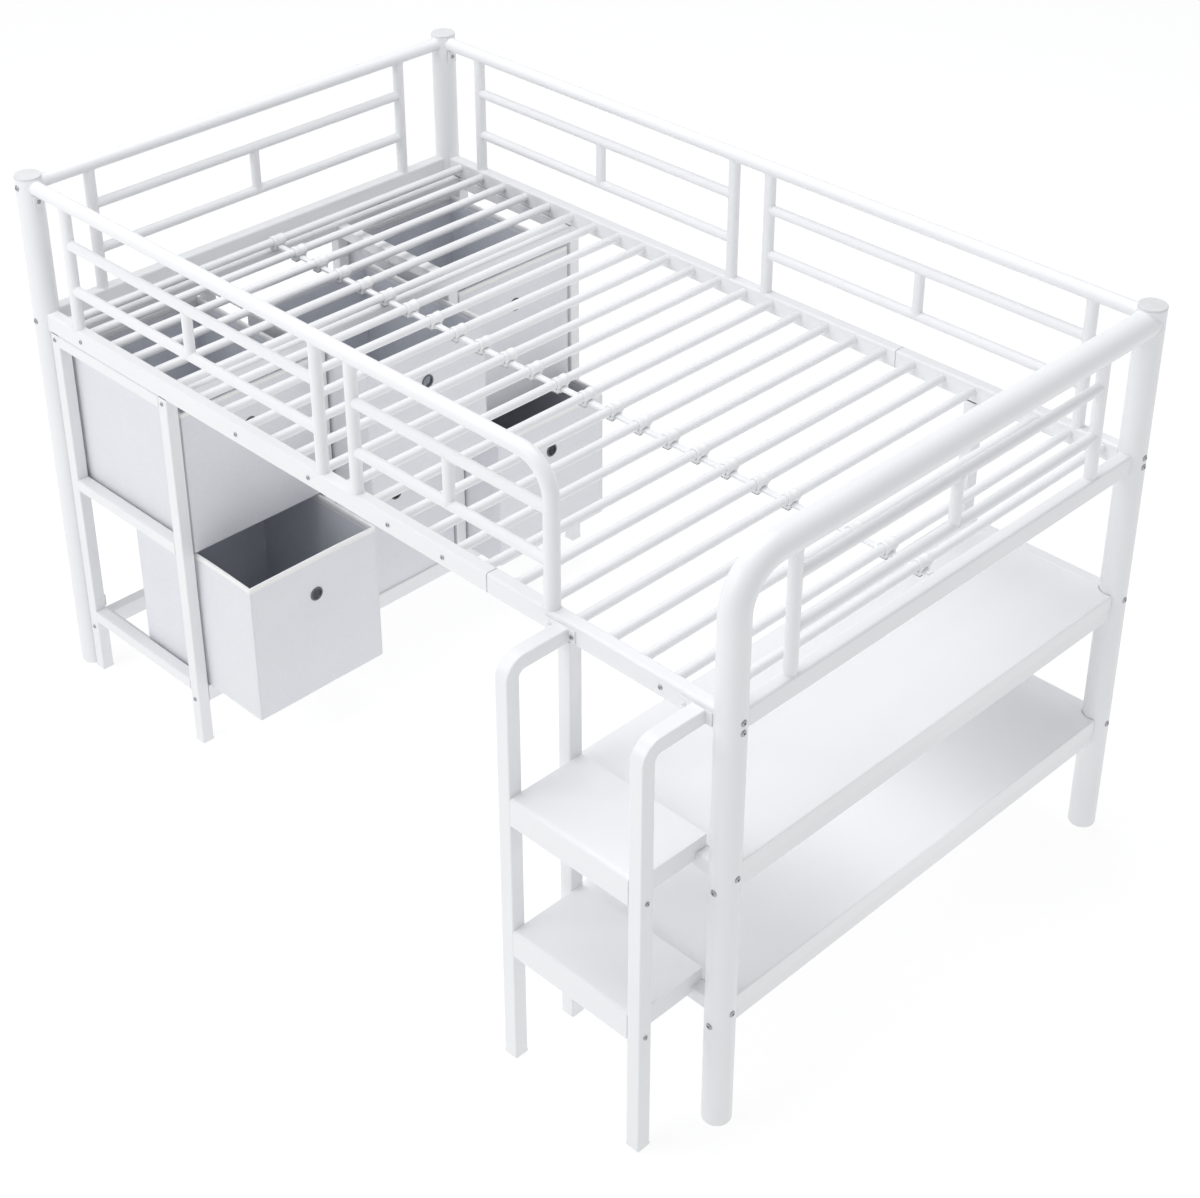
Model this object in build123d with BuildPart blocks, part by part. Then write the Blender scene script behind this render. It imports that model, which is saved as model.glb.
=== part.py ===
from build123d import *
import os

os.makedirs("parts", exist_ok=True)

# Every size is in millimetres. Places are given from the middle of the bed, and at()
# moves them so that the footprint of the whole object, ladder included, is centred.

# Bed frame
SPAN_X = 1950.0  # between post centre lines, along the bed
SPAN_Y = 1136.0  # between post centre lines, across the bed
BED_H = 1222.0  # floor to the top of the post caps
POST_D = 56.0
POST_WALL = 2.0
DECK_TOP = 913.0  # top of the side rails
RAIL_W = 28.0
RAIL_H = 42.0
RAIL_R = 5.0
WALL = 1.5  # wall of every thinner tube
WELD = 0.1  # the fine line left between two welded tubes
CAP_T = 5.0
GLIDE_T = 8.0

# Guards and end panels
TOP_D = 30.0  # top guard tube
TOP_DROP = 23.0  # centre of the top tubes below the post caps
FOOT_DROP = 35.0  # centre of the thick foot end tube below the post caps
BEND_R = 90.0
GUARD_R = 72.0  # bend of the front guard tube
BAR_D = 25.0  # upright guard tube
MID_D = 22.0  # middle guard tube and spacer
MID_AT = (0.675, 0.311)  # middle tubes, as parts of the way from deck to top tube
BAY_END = 125.0  # outer uprights from the post centres
BAY_GAP = 50.0  # inner uprights from the middle of the bed
GUARD_END = 41.0  # turned-down end of the front guard from the ladder leg
END_BAR = 143.0  # head and foot uprights from the post centres
JOINT_X = 415.0  # where each side rail is joined
JOINT_GAP = 3.0

# Slats
SLAT_N = 25
SLAT_END = 60.0  # end slats from the post centres
SLAT_D = 19.0
SLAT_WALL = 1.2
SLAT_Z = DECK_TOP - 16.0
TIE_W = 14.0
TIE_H = 7.0
CLIP_D = 26.0
CLIP_L = 32.0

# Desk and shelf at the foot end
BOARD_T = 30.0
DESK_TOP = 592.0
SHELF_TOP = 286.0

# Ladder
LEG = 30.0  # square ladder and desk tube
LADDER_AT = (368.0, 55.0)  # leg centre lines from the foot post centres
LADDER_OUT = 146.0  # front legs from the back ones
LADDER_R = 29.0
STEP_TOP = (619.0, 316.0)
STEP_H = 59.0
STEP_T = 2.5
HOOK_DROP = 25.0  # ladder top tubes below the top of the side rails

# Cabinet under the head end
CAB = 28.0  # square cabinet tube
CAB_DEEP = 382.5  # between front and back leg centre lines
LOW_BAR = (104.0, 144.0)
LOW_RAIL = 135.0  # underside of the low rails
MID_RAIL = 486.0  # underside of the middle rails
LEDGE_W = 17.0
LEDGE_T = 2.5
FOOT_T = 6.0

# Bins
BIN_SET = 4.5  # a pushed-in bin's front behind the front of the cabinet
BIN_SIDE = 6.8  # between a bin and the cabinet at each side
BIN_OVER = 2.4  # between a bin and what is above it
BIN_T = 4.0
BIN_GAP = 0.3
HOLE_D = 26.0
HOLE_DROP = 91.0
RING_D = 33.0
PULLED = {"low_front": 183.0, "low_back": 116.0, "top_mid": 128.0}

# Bolts
HEAD_D = 13.0
HEAD_T = 3.0
SHANK_D = 6.0
SCREW_D = 10.0  # head of the smaller screws
THREAD_D = 4.0
RAIL_SCREWS = (-0.4251, -0.1549, -0.0405, 0.0769, 0.1533, 0.4272)  # parts of SPAN_X
PLATE_SCREW = 32.0  # from each ladder leg towards the head end

X2 = SPAN_X / 2
Y2 = SPAN_Y / 2
TOP_Z = BED_H - TOP_DROP
FOOT_Z = BED_H - FOOT_DROP
MID_Z = [DECK_TOP + part * (TOP_Z - DECK_TOP) for part in MID_AT]
BAY_X = X2 - BAY_END
BAR_Y = Y2 - END_BAR
LADDER_X = [X2 - part for part in LADDER_AT]
LADDER_Y = -Y2 - LADDER_OUT
GUARD_X = LADDER_X[0] - GUARD_END
DESK_X = LADDER_X[0] - LEG / 2
HOOK_Z = DECK_TOP - HOOK_DROP
CAB_BACK = -X2 + POST_D / 2 + CAB / 2 + 1
CAB_X = (CAB_BACK, CAB_BACK + CAB_DEEP)
CAB_INNER = Y2 / 3
RAIL_Y = Y2 - RAIL_W / 2  # inner face of the side rails
DECK_LOW = DECK_TOP - RAIL_H
OUT_FRONT = -LADDER_Y + LEG / 2
SEAT = POST_D / 2 - 0.8  # bolt heads stand on small flats
OUT_BACK = Y2 + SEAT + HEAD_T
SHIFT_Y = (OUT_FRONT - OUT_BACK) / 2
SLAT_PITCH = (SPAN_X - 2 * SLAT_END) / (SLAT_N - 1)
SLAT_X = [(k - (SLAT_N - 1) / 2) * SLAT_PITCH for k in range(SLAT_N)]
CAB_COLUMN = (Y2 + CAB_INNER) / 2
OPEN_HALF = (Y2 - CAB_INNER) / 2 - CAB / 2
OPEN_MID = CAB_INNER - CAB / 2
STOP_T = 1.6
BIN_FRONT = CAB_X[1] + CAB / 2 - BIN_SET
BIN_L = BIN_FRONT - (CAB_X[0] - CAB / 2 + STOP_T + 0.4)
BIN_W = 2 * min(OPEN_HALF, OPEN_MID) - 2 * BIN_SIDE
BIN_H = MID_RAIL - LEDGE_T - BIN_OVER - LOW_BAR[1] - BIN_GAP
POSTS = {"head_front": (-X2, -Y2), "head_back": (-X2, Y2), "foot_back": (X2, Y2)}


def at(x, y, z):
    return (x, y + SHIFT_Y, z)


def block(x, y, z, mode=Mode.ADD):
    """A box between two values on each axis."""
    with Locations(at(sum(x) / 2, sum(y) / 2, sum(z) / 2)):
        Box(x[1] - x[0], y[1] - y[0], z[1] - z[0], mode=mode)


def rod(a, b, d, mode=Mode.ADD, more=0.0):
    """A round bar from a to b, longer by more at each end."""
    way = Vector(*b) - Vector(*a)
    start = Vector(*at(*a)) - way.normalized() * more
    with Locations(Plane(origin=start, z_dir=way.normalized()).location):
        Cylinder(d / 2, way.length + 2 * more, align=(Align.CENTER, Align.CENTER, Align.MIN),
                 mode=mode)


def tube(a, b, d, wall, cope=()):
    """A round tube from a to b, its ends shaped to the round bars in cope."""
    with BuildPart(mode=Mode.PRIVATE) as piece:
        rod(a, b, d)
        rod(a, b, d - 2 * wall, Mode.SUBTRACT, 1)
        for c in cope:
            rod(c[0], c[1], c[2] + 2 * WELD, Mode.SUBTRACT, 1)
    add(piece.part)


def square(a, b, w, h, wall=WALL, r=3.0, cope=()):
    """A square tube from a to b; w is its width seen from above and h its height."""
    way = Vector(*b) - Vector(*a)
    side = (0, 1, 0) if abs(way.X) > 1 else (1, 0, 0)
    with BuildPart(mode=Mode.PRIVATE) as piece:
        with BuildSketch(Plane(origin=at(*a), x_dir=side, z_dir=way.normalized())):
            RectangleRounded(w, h, r)
            RectangleRounded(w - 2 * wall, h - 2 * wall, max(r - wall, 0.5), mode=Mode.SUBTRACT)
        extrude(amount=way.length)
        for c in cope:
            rod(c[0], c[1], c[2] + 2 * WELD, Mode.SUBTRACT, 1)
    add(piece.part)


def bolt(x, y, z, way, d, shank, length):
    """A button head bolt whose head stands on (x, y, z) and faces way."""
    out = Vector(*way)
    seat = Vector(*at(x, y, z))
    with BuildPart(mode=Mode.PRIVATE) as piece:
        with Locations(Plane(origin=seat, z_dir=out).location):
            Cylinder(d / 2, HEAD_T, align=(Align.CENTER, Align.CENTER, Align.MIN))
            Cylinder(shank / 2, length, align=(Align.CENTER, Align.CENTER, Align.MAX))
        with BuildSketch(Plane(origin=seat + out * HEAD_T, z_dir=out)):
            RegularPolygon(d * 0.2, 6)
        extrude(amount=-HEAD_T * 0.6, mode=Mode.SUBTRACT)
    add(piece.part)


def post_line(name):
    x, y = POSTS[name]
    return ((x, y, 0), (x, y, BED_H), POST_D)


FOOT_FRONT_LINE = ((X2, -Y2, 0), (X2, -Y2, BED_H), POST_D)
FOOT_RAIL_LINE = ((X2, -Y2 + BEND_R, FOOT_Z), (X2, Y2, FOOT_Z), POST_D)
ALL_POSTS = [post_line(n) for n in POSTS] + [FOOT_FRONT_LINE]

# Bolt places. Those along X go through the outer faces of the posts into the side rails,
# the desk and the shelf. Those along Y hold the head panel, the desk and the shelf.
BOLTS_X = []
BOLTS_Y = []
for sy in (-1, 1):
    for sx in (-1, 1):
        BOLTS_X.append((sx, sy, DECK_TOP - 9))
        BOLTS_X.append((sx, sy, DECK_TOP - 29))
    BOLTS_X.append((1, sy, DESK_TOP - BOARD_T / 2))
    BOLTS_X.append((1, sy, SHELF_TOP - BOARD_T / 2))
    BOLTS_Y.append((-1, sy, TOP_Z))
    BOLTS_Y.append((-1, sy, DECK_TOP - RAIL_H / 2))
    BOLTS_Y.append((1, sy, DESK_TOP - BOARD_T * 1.5))
    BOLTS_Y.append((1, sy, SHELF_TOP - BOARD_T * 1.5))


def screw_hole(x, y, z, way, deep, mode=Mode.SUBTRACT):
    """A clearance hole for a small screw, going in against way."""
    tip = (x - way[0] * deep, y - way[1] * deep, z)
    rod((x, y, z), tip, THREAD_D + 0.8, mode, 1)


def bolt_holes(sx, sy):
    """Holes through one post for its bolts, with a small flat under each head."""
    x, y = sx * X2, sy * Y2
    for bx, by, z in BOLTS_X:
        if (bx, by) == (sx, sy):
            rod((x - POST_D, y, z), (x + POST_D, y, z), SHANK_D + 1, Mode.SUBTRACT)
            rod((x + sx * SEAT, y, z), (x + sx * POST_D, y, z), HEAD_D + 0.6, Mode.SUBTRACT)
    for bx, by, z in BOLTS_Y:
        if (bx, by) == (sx, sy):
            rod((x, y - POST_D, z), (x, y + POST_D, z), SHANK_D + 1, Mode.SUBTRACT)
            rod((x, y + sy * SEAT, z), (x, y + sy * POST_D, z), HEAD_D + 0.6, Mode.SUBTRACT)


TAB = 3.0
TAB_SPOTS = [(-1, -1), (-1, 1), (1, 1)]
TAB_Z = TOP_Z - TOP_D / 2 - 14

# Straight posts
for post_name, (px, py) in POSTS.items():
    with BuildPart() as post:
        rod((px, py, GLIDE_T), (px, py, BED_H - CAP_T), POST_D)
        rod((px, py, GLIDE_T), (px, py, BED_H - CAP_T), POST_D - 2 * POST_WALL, Mode.SUBTRACT, 1)
        side = 1 if px > 0 else -1
        bolt_holes(side, 1 if py > 0 else -1)
        screw_hole(px - side * POST_D / 2, py, TAB_Z, (-side, 0), 8)
    post.part.label = "post_" + post_name
    export_step(post.part, "parts/post_" + post_name + ".step")

# Foot end tube: the front foot post, which bends into the thick top rail
with BuildPart() as foot_bent_tube:
    with BuildLine() as foot_path:
        foot_a = at(X2, -Y2, GLIDE_T)
        foot_b = at(X2, -Y2, FOOT_Z)
        foot_c = at(X2, Y2, FOOT_Z)
        FilletPolyline(foot_a, foot_b, foot_c, radius=BEND_R)
    with BuildSketch(Plane(origin=foot_a, z_dir=(0, 0, 1))):
        Circle(POST_D / 2)
        Circle(POST_D / 2 - POST_WALL, mode=Mode.SUBTRACT)
    sweep(path=foot_path.line)
    rod((X2, Y2, 0), (X2, Y2, BED_H), POST_D + 2 * WELD, Mode.SUBTRACT)
    bolt_holes(1, -1)
foot_bent_tube.part.label = "foot_bent_tube"
export_step(foot_bent_tube.part, "parts/foot_bent_tube.step")

# Flat caps on the three straight posts
with BuildPart() as post_caps:
    for px, py in POSTS.values():
        rod((px, py, BED_H - CAP_T), (px, py, BED_H), POST_D)
        rod((px, py, BED_H - CAP_T - 14), (px, py, BED_H - CAP_T), POST_D - 2 * POST_WALL - 0.4)
    fillet(post_caps.faces().filter_by(Axis.Z).group_by(Axis.Z)[-1].edges(), 1.5)
post_caps.part.label = "post_caps"
export_step(post_caps.part, "parts/post_caps.step")

# Rounded glides under the four posts
with BuildPart() as post_glides:
    for sx in (-1, 1):
        for sy in (-1, 1):
            rod((sx * X2, sy * Y2, 0), (sx * X2, sy * Y2, GLIDE_T), POST_D)
            rod((sx * X2, sy * Y2, GLIDE_T), (sx * X2, sy * Y2, GLIDE_T + 14),
                POST_D - 2 * POST_WALL - 0.4)
    fillet(post_glides.faces().filter_by(Axis.Z).group_by(Axis.Z)[0].edges(), 6)
post_glides.part.label = "post_glides"
export_step(post_glides.part, "parts/post_glides.step")

# Head panel: top tube, low crossbar, uprights and middle tubes
with BuildPart() as head_top_rail:
    tube((-X2, -Y2, TOP_Z), (-X2, Y2, TOP_Z), TOP_D, WALL, ALL_POSTS[:2])
head_top_rail.part.label = "head_top_rail"
export_step(head_top_rail.part, "parts/head_top_rail.step")

with BuildPart() as head_crossbar:
    square((-X2, -Y2, DECK_TOP - RAIL_H / 2), (-X2, Y2, DECK_TOP - RAIL_H / 2), RAIL_W, RAIL_H,
           r=RAIL_R, cope=ALL_POSTS[:2])
head_crossbar.part.label = "head_crossbar"
export_step(head_crossbar.part, "parts/head_crossbar.step")


def end_panel(x, top):
    """The uprights, middle tubes and spacer of the panel at x, under the tube in top."""
    bars = [((x, s * BAR_Y, 0), (x, s * BAR_Y, BED_H), BAR_D) for s in (-1, 1)]
    mids = [((x, -BAR_Y, z), (x, BAR_Y, z), MID_D) for z in MID_Z]
    for s in (-1, 1):
        tube((x, s * BAR_Y, DECK_TOP + WELD), (x, s * BAR_Y, top[0][2]), BAR_D, WALL, [top])
    for a, b, d in mids:
        tube(a, b, d, WALL, bars)
    tube((x, 0, MID_Z[1]), (x, 0, MID_Z[0]), MID_D, WALL, mids)


with BuildPart() as head_panel_bars:
    end_panel(-X2, ((-X2, -Y2, TOP_Z), (-X2, Y2, TOP_Z), TOP_D))
head_panel_bars.part.label = "head_panel_bars"
export_step(head_panel_bars.part, "parts/head_panel_bars.step")

# Foot panel: low crossbar, uprights and middle tubes under the thick rail
with BuildPart() as foot_crossbar:
    square((X2, -Y2, DECK_TOP - RAIL_H / 2), (X2, Y2, DECK_TOP - RAIL_H / 2), RAIL_W, RAIL_H,
           r=RAIL_R, cope=ALL_POSTS[2:])
foot_crossbar.part.label = "foot_crossbar"
export_step(foot_crossbar.part, "parts/foot_crossbar.step")

with BuildPart() as foot_panel_bars:
    end_panel(X2, FOOT_RAIL_LINE)
foot_panel_bars.part.label = "foot_panel_bars"
export_step(foot_panel_bars.part, "parts/foot_panel_bars.step")

# Front guard: one tube from the head post that bends down beside the ladder
FRONT_TOP = ((-X2, -Y2, TOP_Z), (GUARD_X, -Y2, TOP_Z), TOP_D)
FRONT_END = ((GUARD_X, -Y2, DECK_TOP), (GUARD_X, -Y2, TOP_Z), TOP_D)
with BuildPart() as front_guard_rail:
    with BuildLine() as guard_path:
        guard_a = at(-X2 + POST_D / 2 - 4, -Y2, TOP_Z)
        guard_b = at(GUARD_X, -Y2, TOP_Z)
        guard_c = at(GUARD_X, -Y2, DECK_TOP + WELD)
        FilletPolyline(guard_a, guard_b, guard_c, radius=GUARD_R)
    with BuildSketch(Plane(origin=guard_a, z_dir=(1, 0, 0))):
        Circle(TOP_D / 2)
        Circle(TOP_D / 2 - WALL, mode=Mode.SUBTRACT)
    sweep(path=guard_path.line)
    rod((-X2, -Y2, 0), (-X2, -Y2, BED_H), POST_D + 2 * WELD, Mode.SUBTRACT)
front_guard_rail.part.label = "front_guard_rail"
export_step(front_guard_rail.part, "parts/front_guard_rail.step")


def guard_bay(y, x0, x1, d0, d1):
    """Two middle tubes with a spacer between, from the upright at x0 to the one at x1."""
    ends = [((x0, y, 0), (x0, y, BED_H), d0), ((x1, y, 0), (x1, y, BED_H), d1)]
    mids = [((x0, y, z), (x1, y, z), MID_D) for z in MID_Z]
    for a, b, d in mids:
        tube(a, b, d, WALL, ends)
    middle = (x0 + x1) / 2
    tube((middle, y, MID_Z[1]), (middle, y, MID_Z[0]), MID_D, WALL, mids)


def uprights(y, xs, top):
    for x in xs:
        tube((x, y, DECK_TOP + WELD), (x, y, TOP_Z), BAR_D, WALL, [top])


with BuildPart() as front_guard_bars:
    uprights(-Y2, (-BAY_X, -BAY_GAP, BAY_GAP), FRONT_TOP)
    guard_bay(-Y2, -BAY_X, -BAY_GAP, BAR_D, BAR_D)
    guard_bay(-Y2, BAY_GAP, GUARD_X, BAR_D, TOP_D)
front_guard_bars.part.label = "front_guard_bars"
export_step(front_guard_bars.part, "parts/front_guard_bars.step")

# Back guard, the full length of the bed
BACK_TOP = ((-X2, Y2, TOP_Z), (X2, Y2, TOP_Z), TOP_D)
with BuildPart() as back_guard_rail:
    tube(BACK_TOP[0], BACK_TOP[1], TOP_D, WALL, ALL_POSTS[1:3] + [FOOT_RAIL_LINE])
back_guard_rail.part.label = "back_guard_rail"
export_step(back_guard_rail.part, "parts/back_guard_rail.step")

with BuildPart() as back_guard_bars:
    uprights(Y2, (-BAY_X, -BAY_GAP, BAY_GAP, BAY_X), BACK_TOP)
    guard_bay(Y2, -BAY_X, -BAY_GAP, BAR_D, BAR_D)
    guard_bay(Y2, BAY_GAP, BAY_X, BAR_D, BAR_D)
back_guard_bars.part.label = "back_guard_bars"
export_step(back_guard_bars.part, "parts/back_guard_bars.step")

# Flat tabs under the guard tube ends, one at each post that a guard meets
with BuildPart() as guard_tabs:
    for sx, sy in TAB_SPOTS:
        face = sx * (X2 - POST_D / 2)
        tab_x = sorted((face - sx * WELD, face - sx * (WELD + TAB)))
        block(tab_x, (sy * Y2 - 11, sy * Y2 + 11), (TAB_Z - 14, TOP_Z - TOP_D / 2 - 0.5))
    for sx, sy in TAB_SPOTS:
        face = sx * (X2 - POST_D / 2)
        screw_hole(face - sx * (WELD + TAB), sy * Y2, TAB_Z, (-sx, 0), TAB)
guard_tabs.part.label = "guard_tabs"
export_step(guard_tabs.part, "parts/guard_tabs.step")

# Side rails, each in two lengths, with a sleeve inside the joint
RAIL_MID = DECK_TOP - RAIL_H / 2
RAIL_OUT = Y2 + RAIL_W / 2
PLATE_X = [x - PLATE_SCREW for x in LADDER_X]
RAIL_SPOTS = [(part * SPAN_X, sy) for sy in (-1, 1) for part in RAIL_SCREWS]
PLATE_Z = HOOK_Z + 2


def rail_holes(sy):
    for part in RAIL_SCREWS:
        screw_hole(part * SPAN_X, sy * RAIL_OUT, RAIL_MID, (0, sy), 8)
    for x in PLATE_X:
        if sy < 0:
            screw_hole(x, sy * RAIL_OUT, PLATE_Z, (0, sy), 8)


for side_name, sy, posts in (("front", -1, (0, 3)), ("back", 1, (1, 2))):
    with BuildPart() as rail_head:
        square((-X2, sy * Y2, RAIL_MID), (JOINT_X - JOINT_GAP / 2, sy * Y2, RAIL_MID), RAIL_W,
               RAIL_H, r=RAIL_R, cope=[ALL_POSTS[posts[0]]])
        rail_holes(sy)
    rail_head.part.label = "side_rail_" + side_name + "_head"
    export_step(rail_head.part, "parts/side_rail_" + side_name + "_head.step")
    with BuildPart() as rail_foot:
        square((JOINT_X + JOINT_GAP / 2, sy * Y2, RAIL_MID), (X2, sy * Y2, RAIL_MID), RAIL_W,
               RAIL_H, r=RAIL_R, cope=[ALL_POSTS[posts[1]]])
        rail_holes(sy)
    rail_foot.part.label = "side_rail_" + side_name + "_foot"
    export_step(rail_foot.part, "parts/side_rail_" + side_name + "_foot.step")

with BuildPart() as rail_sleeves:
    for sy in (-1, 1):
        square((JOINT_X - 60, sy * Y2, RAIL_MID), (JOINT_X + 60, sy * Y2, RAIL_MID),
               RAIL_W - 2 * WALL - 0.6, RAIL_H - 2 * WALL - 0.6, r=RAIL_R - WALL)
rail_sleeves.part.label = "rail_sleeves"
export_step(rail_sleeves.part, "parts/rail_sleeves.step")

# Round slats between the side rails
with BuildPart() as slats:
    for x in SLAT_X:
        tube((x, -RAIL_Y + WELD, SLAT_Z), (x, RAIL_Y - WELD, SLAT_Z), SLAT_D, SLAT_WALL)
slats.part.label = "slats"
export_step(slats.part, "parts/slats.step")

# One flat bar ties the slats together under their middles
TIE_TOP = SLAT_Z - SLAT_D / 2 - 0.2
with BuildPart() as slat_tie:
    block((SLAT_X[0] - 22, SLAT_X[-1] + 22), (-TIE_W / 2, TIE_W / 2), (TIE_TOP - TIE_H, TIE_TOP))
    fillet(slat_tie.edges().filter_by(Axis.X), 2)
slat_tie.part.label = "slat_tie"
export_step(slat_tie.part, "parts/slat_tie.step")

# A plastic clip at each crossing: it wraps the slat and reaches under the flat bar
with BuildPart() as slat_clips:
    for x in SLAT_X:
        rod((x, -CLIP_L / 2, SLAT_Z), (x, CLIP_L / 2, SLAT_Z), CLIP_D)
        block((x - 9, x + 9), (-CLIP_L / 2, CLIP_L / 2), (TIE_TOP - TIE_H - 4, SLAT_Z))
    for x in SLAT_X:
        rod((x, -CLIP_L / 2, SLAT_Z), (x, CLIP_L / 2, SLAT_Z), SLAT_D + 0.3, Mode.SUBTRACT, 1)
    block((SLAT_X[0] - 60, SLAT_X[-1] + 60), (-TIE_W / 2 - 0.2, TIE_W / 2 + 0.2),
          (TIE_TOP - TIE_H - 0.2, TIE_TOP + 0.2), Mode.SUBTRACT)
slat_clips.part.label = "slat_clips"
export_step(slat_clips.part, "parts/slat_clips.step")

# Desk and shelf: a thick board in a tube frame, twice
for level_name, top in (("desk", DESK_TOP), ("shelf", SHELF_TOP)):
    side_z = top - BOARD_T / 2
    cross_z = top - BOARD_T * 1.5
    with BuildPart() as board:
        block((DESK_X, X2 + RAIL_W / 2), (-RAIL_Y + WELD, RAIL_Y - WELD), (top - BOARD_T + WELD, top))
        fillet(board.edges().filter_by(Axis.Y).group_by(Axis.Z)[-1], 3)
        for a, b, d in ALL_POSTS:
            rod(a, b, d + 3, Mode.SUBTRACT)
        for sy in (-1, 1):
            notch = sorted((sy * (Y2 - LEG / 2 - 0.3), sy * Y2))
            block((DESK_X - 1, DESK_X + LEG + 0.3), notch, (top - BOARD_T, top + 1), Mode.SUBTRACT)
    board.part.label = level_name + "_board"
    export_step(board.part, "parts/" + level_name + "_board.step")
    with BuildPart() as frame:
        leg0 = LADDER_X[0] + LEG / 2 + WELD
        square((leg0, -Y2, side_z), (X2, -Y2, side_z), RAIL_W, BOARD_T, cope=ALL_POSTS[3:])
        square((leg0, Y2, side_z), (X2, Y2, side_z), RAIL_W, BOARD_T, cope=ALL_POSTS[2:3])
        square((X2, -Y2, cross_z), (X2, Y2, cross_z), RAIL_W - 4, BOARD_T - WELD,
               cope=ALL_POSTS[2:])
        leg_y = Y2 - LEG / 2 - WELD
        square((LADDER_X[0], -leg_y, cross_z), (LADDER_X[0], leg_y, cross_z), LEG,
               BOARD_T - WELD)
    frame.part.label = level_name + "_frame"
    export_step(frame.part, "parts/" + level_name + "_frame.step")

# Two legs at the desk's inner corners run on up to the side rails
with BuildPart() as desk_legs:
    for sy in (-1, 1):
        square((LADDER_X[0], sy * Y2, FOOT_T), (LADDER_X[0], sy * Y2, DECK_LOW - WELD), LEG, LEG)
desk_legs.part.label = "desk_legs"
export_step(desk_legs.part, "parts/desk_legs.step")

# Ladder front legs, bent over at the top to meet the side rail
PLATE_T = 3.0
STEP_SCREWS = [top - 45 for top in STEP_TOP]
with BuildPart() as ladder_front_legs:
    for x in LADDER_X:
        with BuildLine() as leg_path:
            leg_a = at(x, LADDER_Y, FOOT_T)
            leg_b = at(x, LADDER_Y, HOOK_Z)
            leg_c = at(x, -Y2 - RAIL_W / 2 - PLATE_T - 2 * WELD, HOOK_Z)
            FilletPolyline(leg_a, leg_b, leg_c, radius=LADDER_R)
        with BuildSketch(Plane(origin=leg_a, z_dir=(0, 0, 1))):
            RectangleRounded(LEG, LEG, 3)
            RectangleRounded(LEG - 2 * WALL, LEG - 2 * WALL, 1.5, mode=Mode.SUBTRACT)
        sweep(path=leg_path.line)
    for s, x in zip((-1, 1), LADDER_X):
        for z in STEP_SCREWS:
            screw_hole(x + s * LEG / 2, LADDER_Y, z, (s, 0), LEG)
ladder_front_legs.part.label = "ladder_front_legs"
export_step(ladder_front_legs.part, "parts/ladder_front_legs.step")

# Plates that screw the ladder to the side rail
PLATE_Y = (-Y2 - RAIL_W / 2 - PLATE_T - WELD, -Y2 - RAIL_W / 2 - WELD)
POST_REACH = ((POST_D / 2) ** 2 - (RAIL_W / 2) ** 2) ** 0.5  # the post beside the rail's face
PLATE_EAR = min(14, LADDER_AT[1] - LEG / 2 - POST_REACH - 1)
with BuildPart() as ladder_plates:
    for x in LADDER_X:
        block((x - PLATE_SCREW - 12, x + LEG / 2 + PLATE_EAR), PLATE_Y, (HOOK_Z - 12, HOOK_Z + 14))
        screw_hole(x - PLATE_SCREW, PLATE_Y[0], PLATE_Z, (0, -1), PLATE_T)
ladder_plates.part.label = "ladder_plates"
export_step(ladder_plates.part, "parts/ladder_plates.step")


def step_outline(grow, back):
    """The step seen from above: between the front legs, then wider up to back."""
    x0 = LADDER_X[0] + LEG / 2 + WELD + grow
    x1 = LADDER_X[1] - LEG / 2 - WELD - grow
    y0 = LADDER_Y - LEG / 2 + grow
    side = LADDER_Y + LEG / 2 + WELD + grow
    with Locations(((x0 + x1) / 2, (y0 + back) / 2 + SHIFT_Y)):
        Rectangle(x1 - x0, back - y0)
    with Locations(((x0 + x1 + LEG / 2) / 2, (side + back) / 2 + SHIFT_Y)):
        Rectangle(x1 - x0 + LEG / 2, back - side)


# Pressed steel steps: a top plate with a deep front lip and sides. The plate reaches over
# the side tube of the desk or shelf, and the sides stop short of it.
STEP_BACK = -Y2 + 12
STEP_SIDE = -Y2 - RAIL_W / 2 - 1
for step_name, top in (("upper", STEP_TOP[0]), ("lower", STEP_TOP[1])):
    low = top - STEP_H
    with BuildPart() as step:
        with BuildSketch(Plane.XY.offset(low)):
            step_outline(0, STEP_BACK)
        extrude(amount=STEP_H)
        front_edge = step.edges().filter_by(Axis.X).group_by(Axis.Z)[-1].sort_by(Axis.Y)[0]
        fillet(front_edge, 8)
        with BuildSketch(Plane.XY.offset(low - 1)):
            step_outline(STEP_T, STEP_BACK + 2 * STEP_T)
        extrude(amount=STEP_H + 1 - STEP_T - 6, mode=Mode.SUBTRACT)
        wide = (LADDER_X[0], LADDER_X[1] + LEG)
        block(wide, (STEP_SIDE, STEP_BACK + 1), (low - 1, top - BOARD_T + 4), Mode.SUBTRACT)
        block(wide, (LADDER_Y + LEG / 2, STEP_BACK + 1), (low - 1, low + 17), Mode.SUBTRACT)
        for s, x in zip((1, -1), LADDER_X):
            face = x + s * (LEG / 2 + WELD)
            screw_hole(face, LADDER_Y, top - 45, (-s, 0), 20)
    step.part.label = "ladder_step_" + step_name
    export_step(step.part, "parts/ladder_step_" + step_name + ".step")

# Cabinet frame of square tube
CAB_X0 = CAB_X[0] + CAB / 2
CAB_X1 = CAB_X[1] - CAB / 2
CAB_TOP = DECK_LOW - WELD
CAB_HEAD = DECK_LOW - CAB  # underside of the top rails
LEG_FACE = Y2 - CAB / 2
CAB_SCREWS = (CAB_TOP - CAB / 2 + 1, sum(LOW_BAR) / 2 - 8)
with BuildPart() as cabinet_legs:
    for x in CAB_X:
        for sy in (-1, 1):
            square((x, sy * Y2, FOOT_T), (x, sy * Y2, CAB_TOP), CAB, CAB)
            for z in CAB_SCREWS:
                screw_hole(x, sy * (Y2 + CAB / 2), z, (0, sy), CAB)
cabinet_legs.part.label = "cabinet_legs"
export_step(cabinet_legs.part, "parts/cabinet_legs.step")

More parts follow.
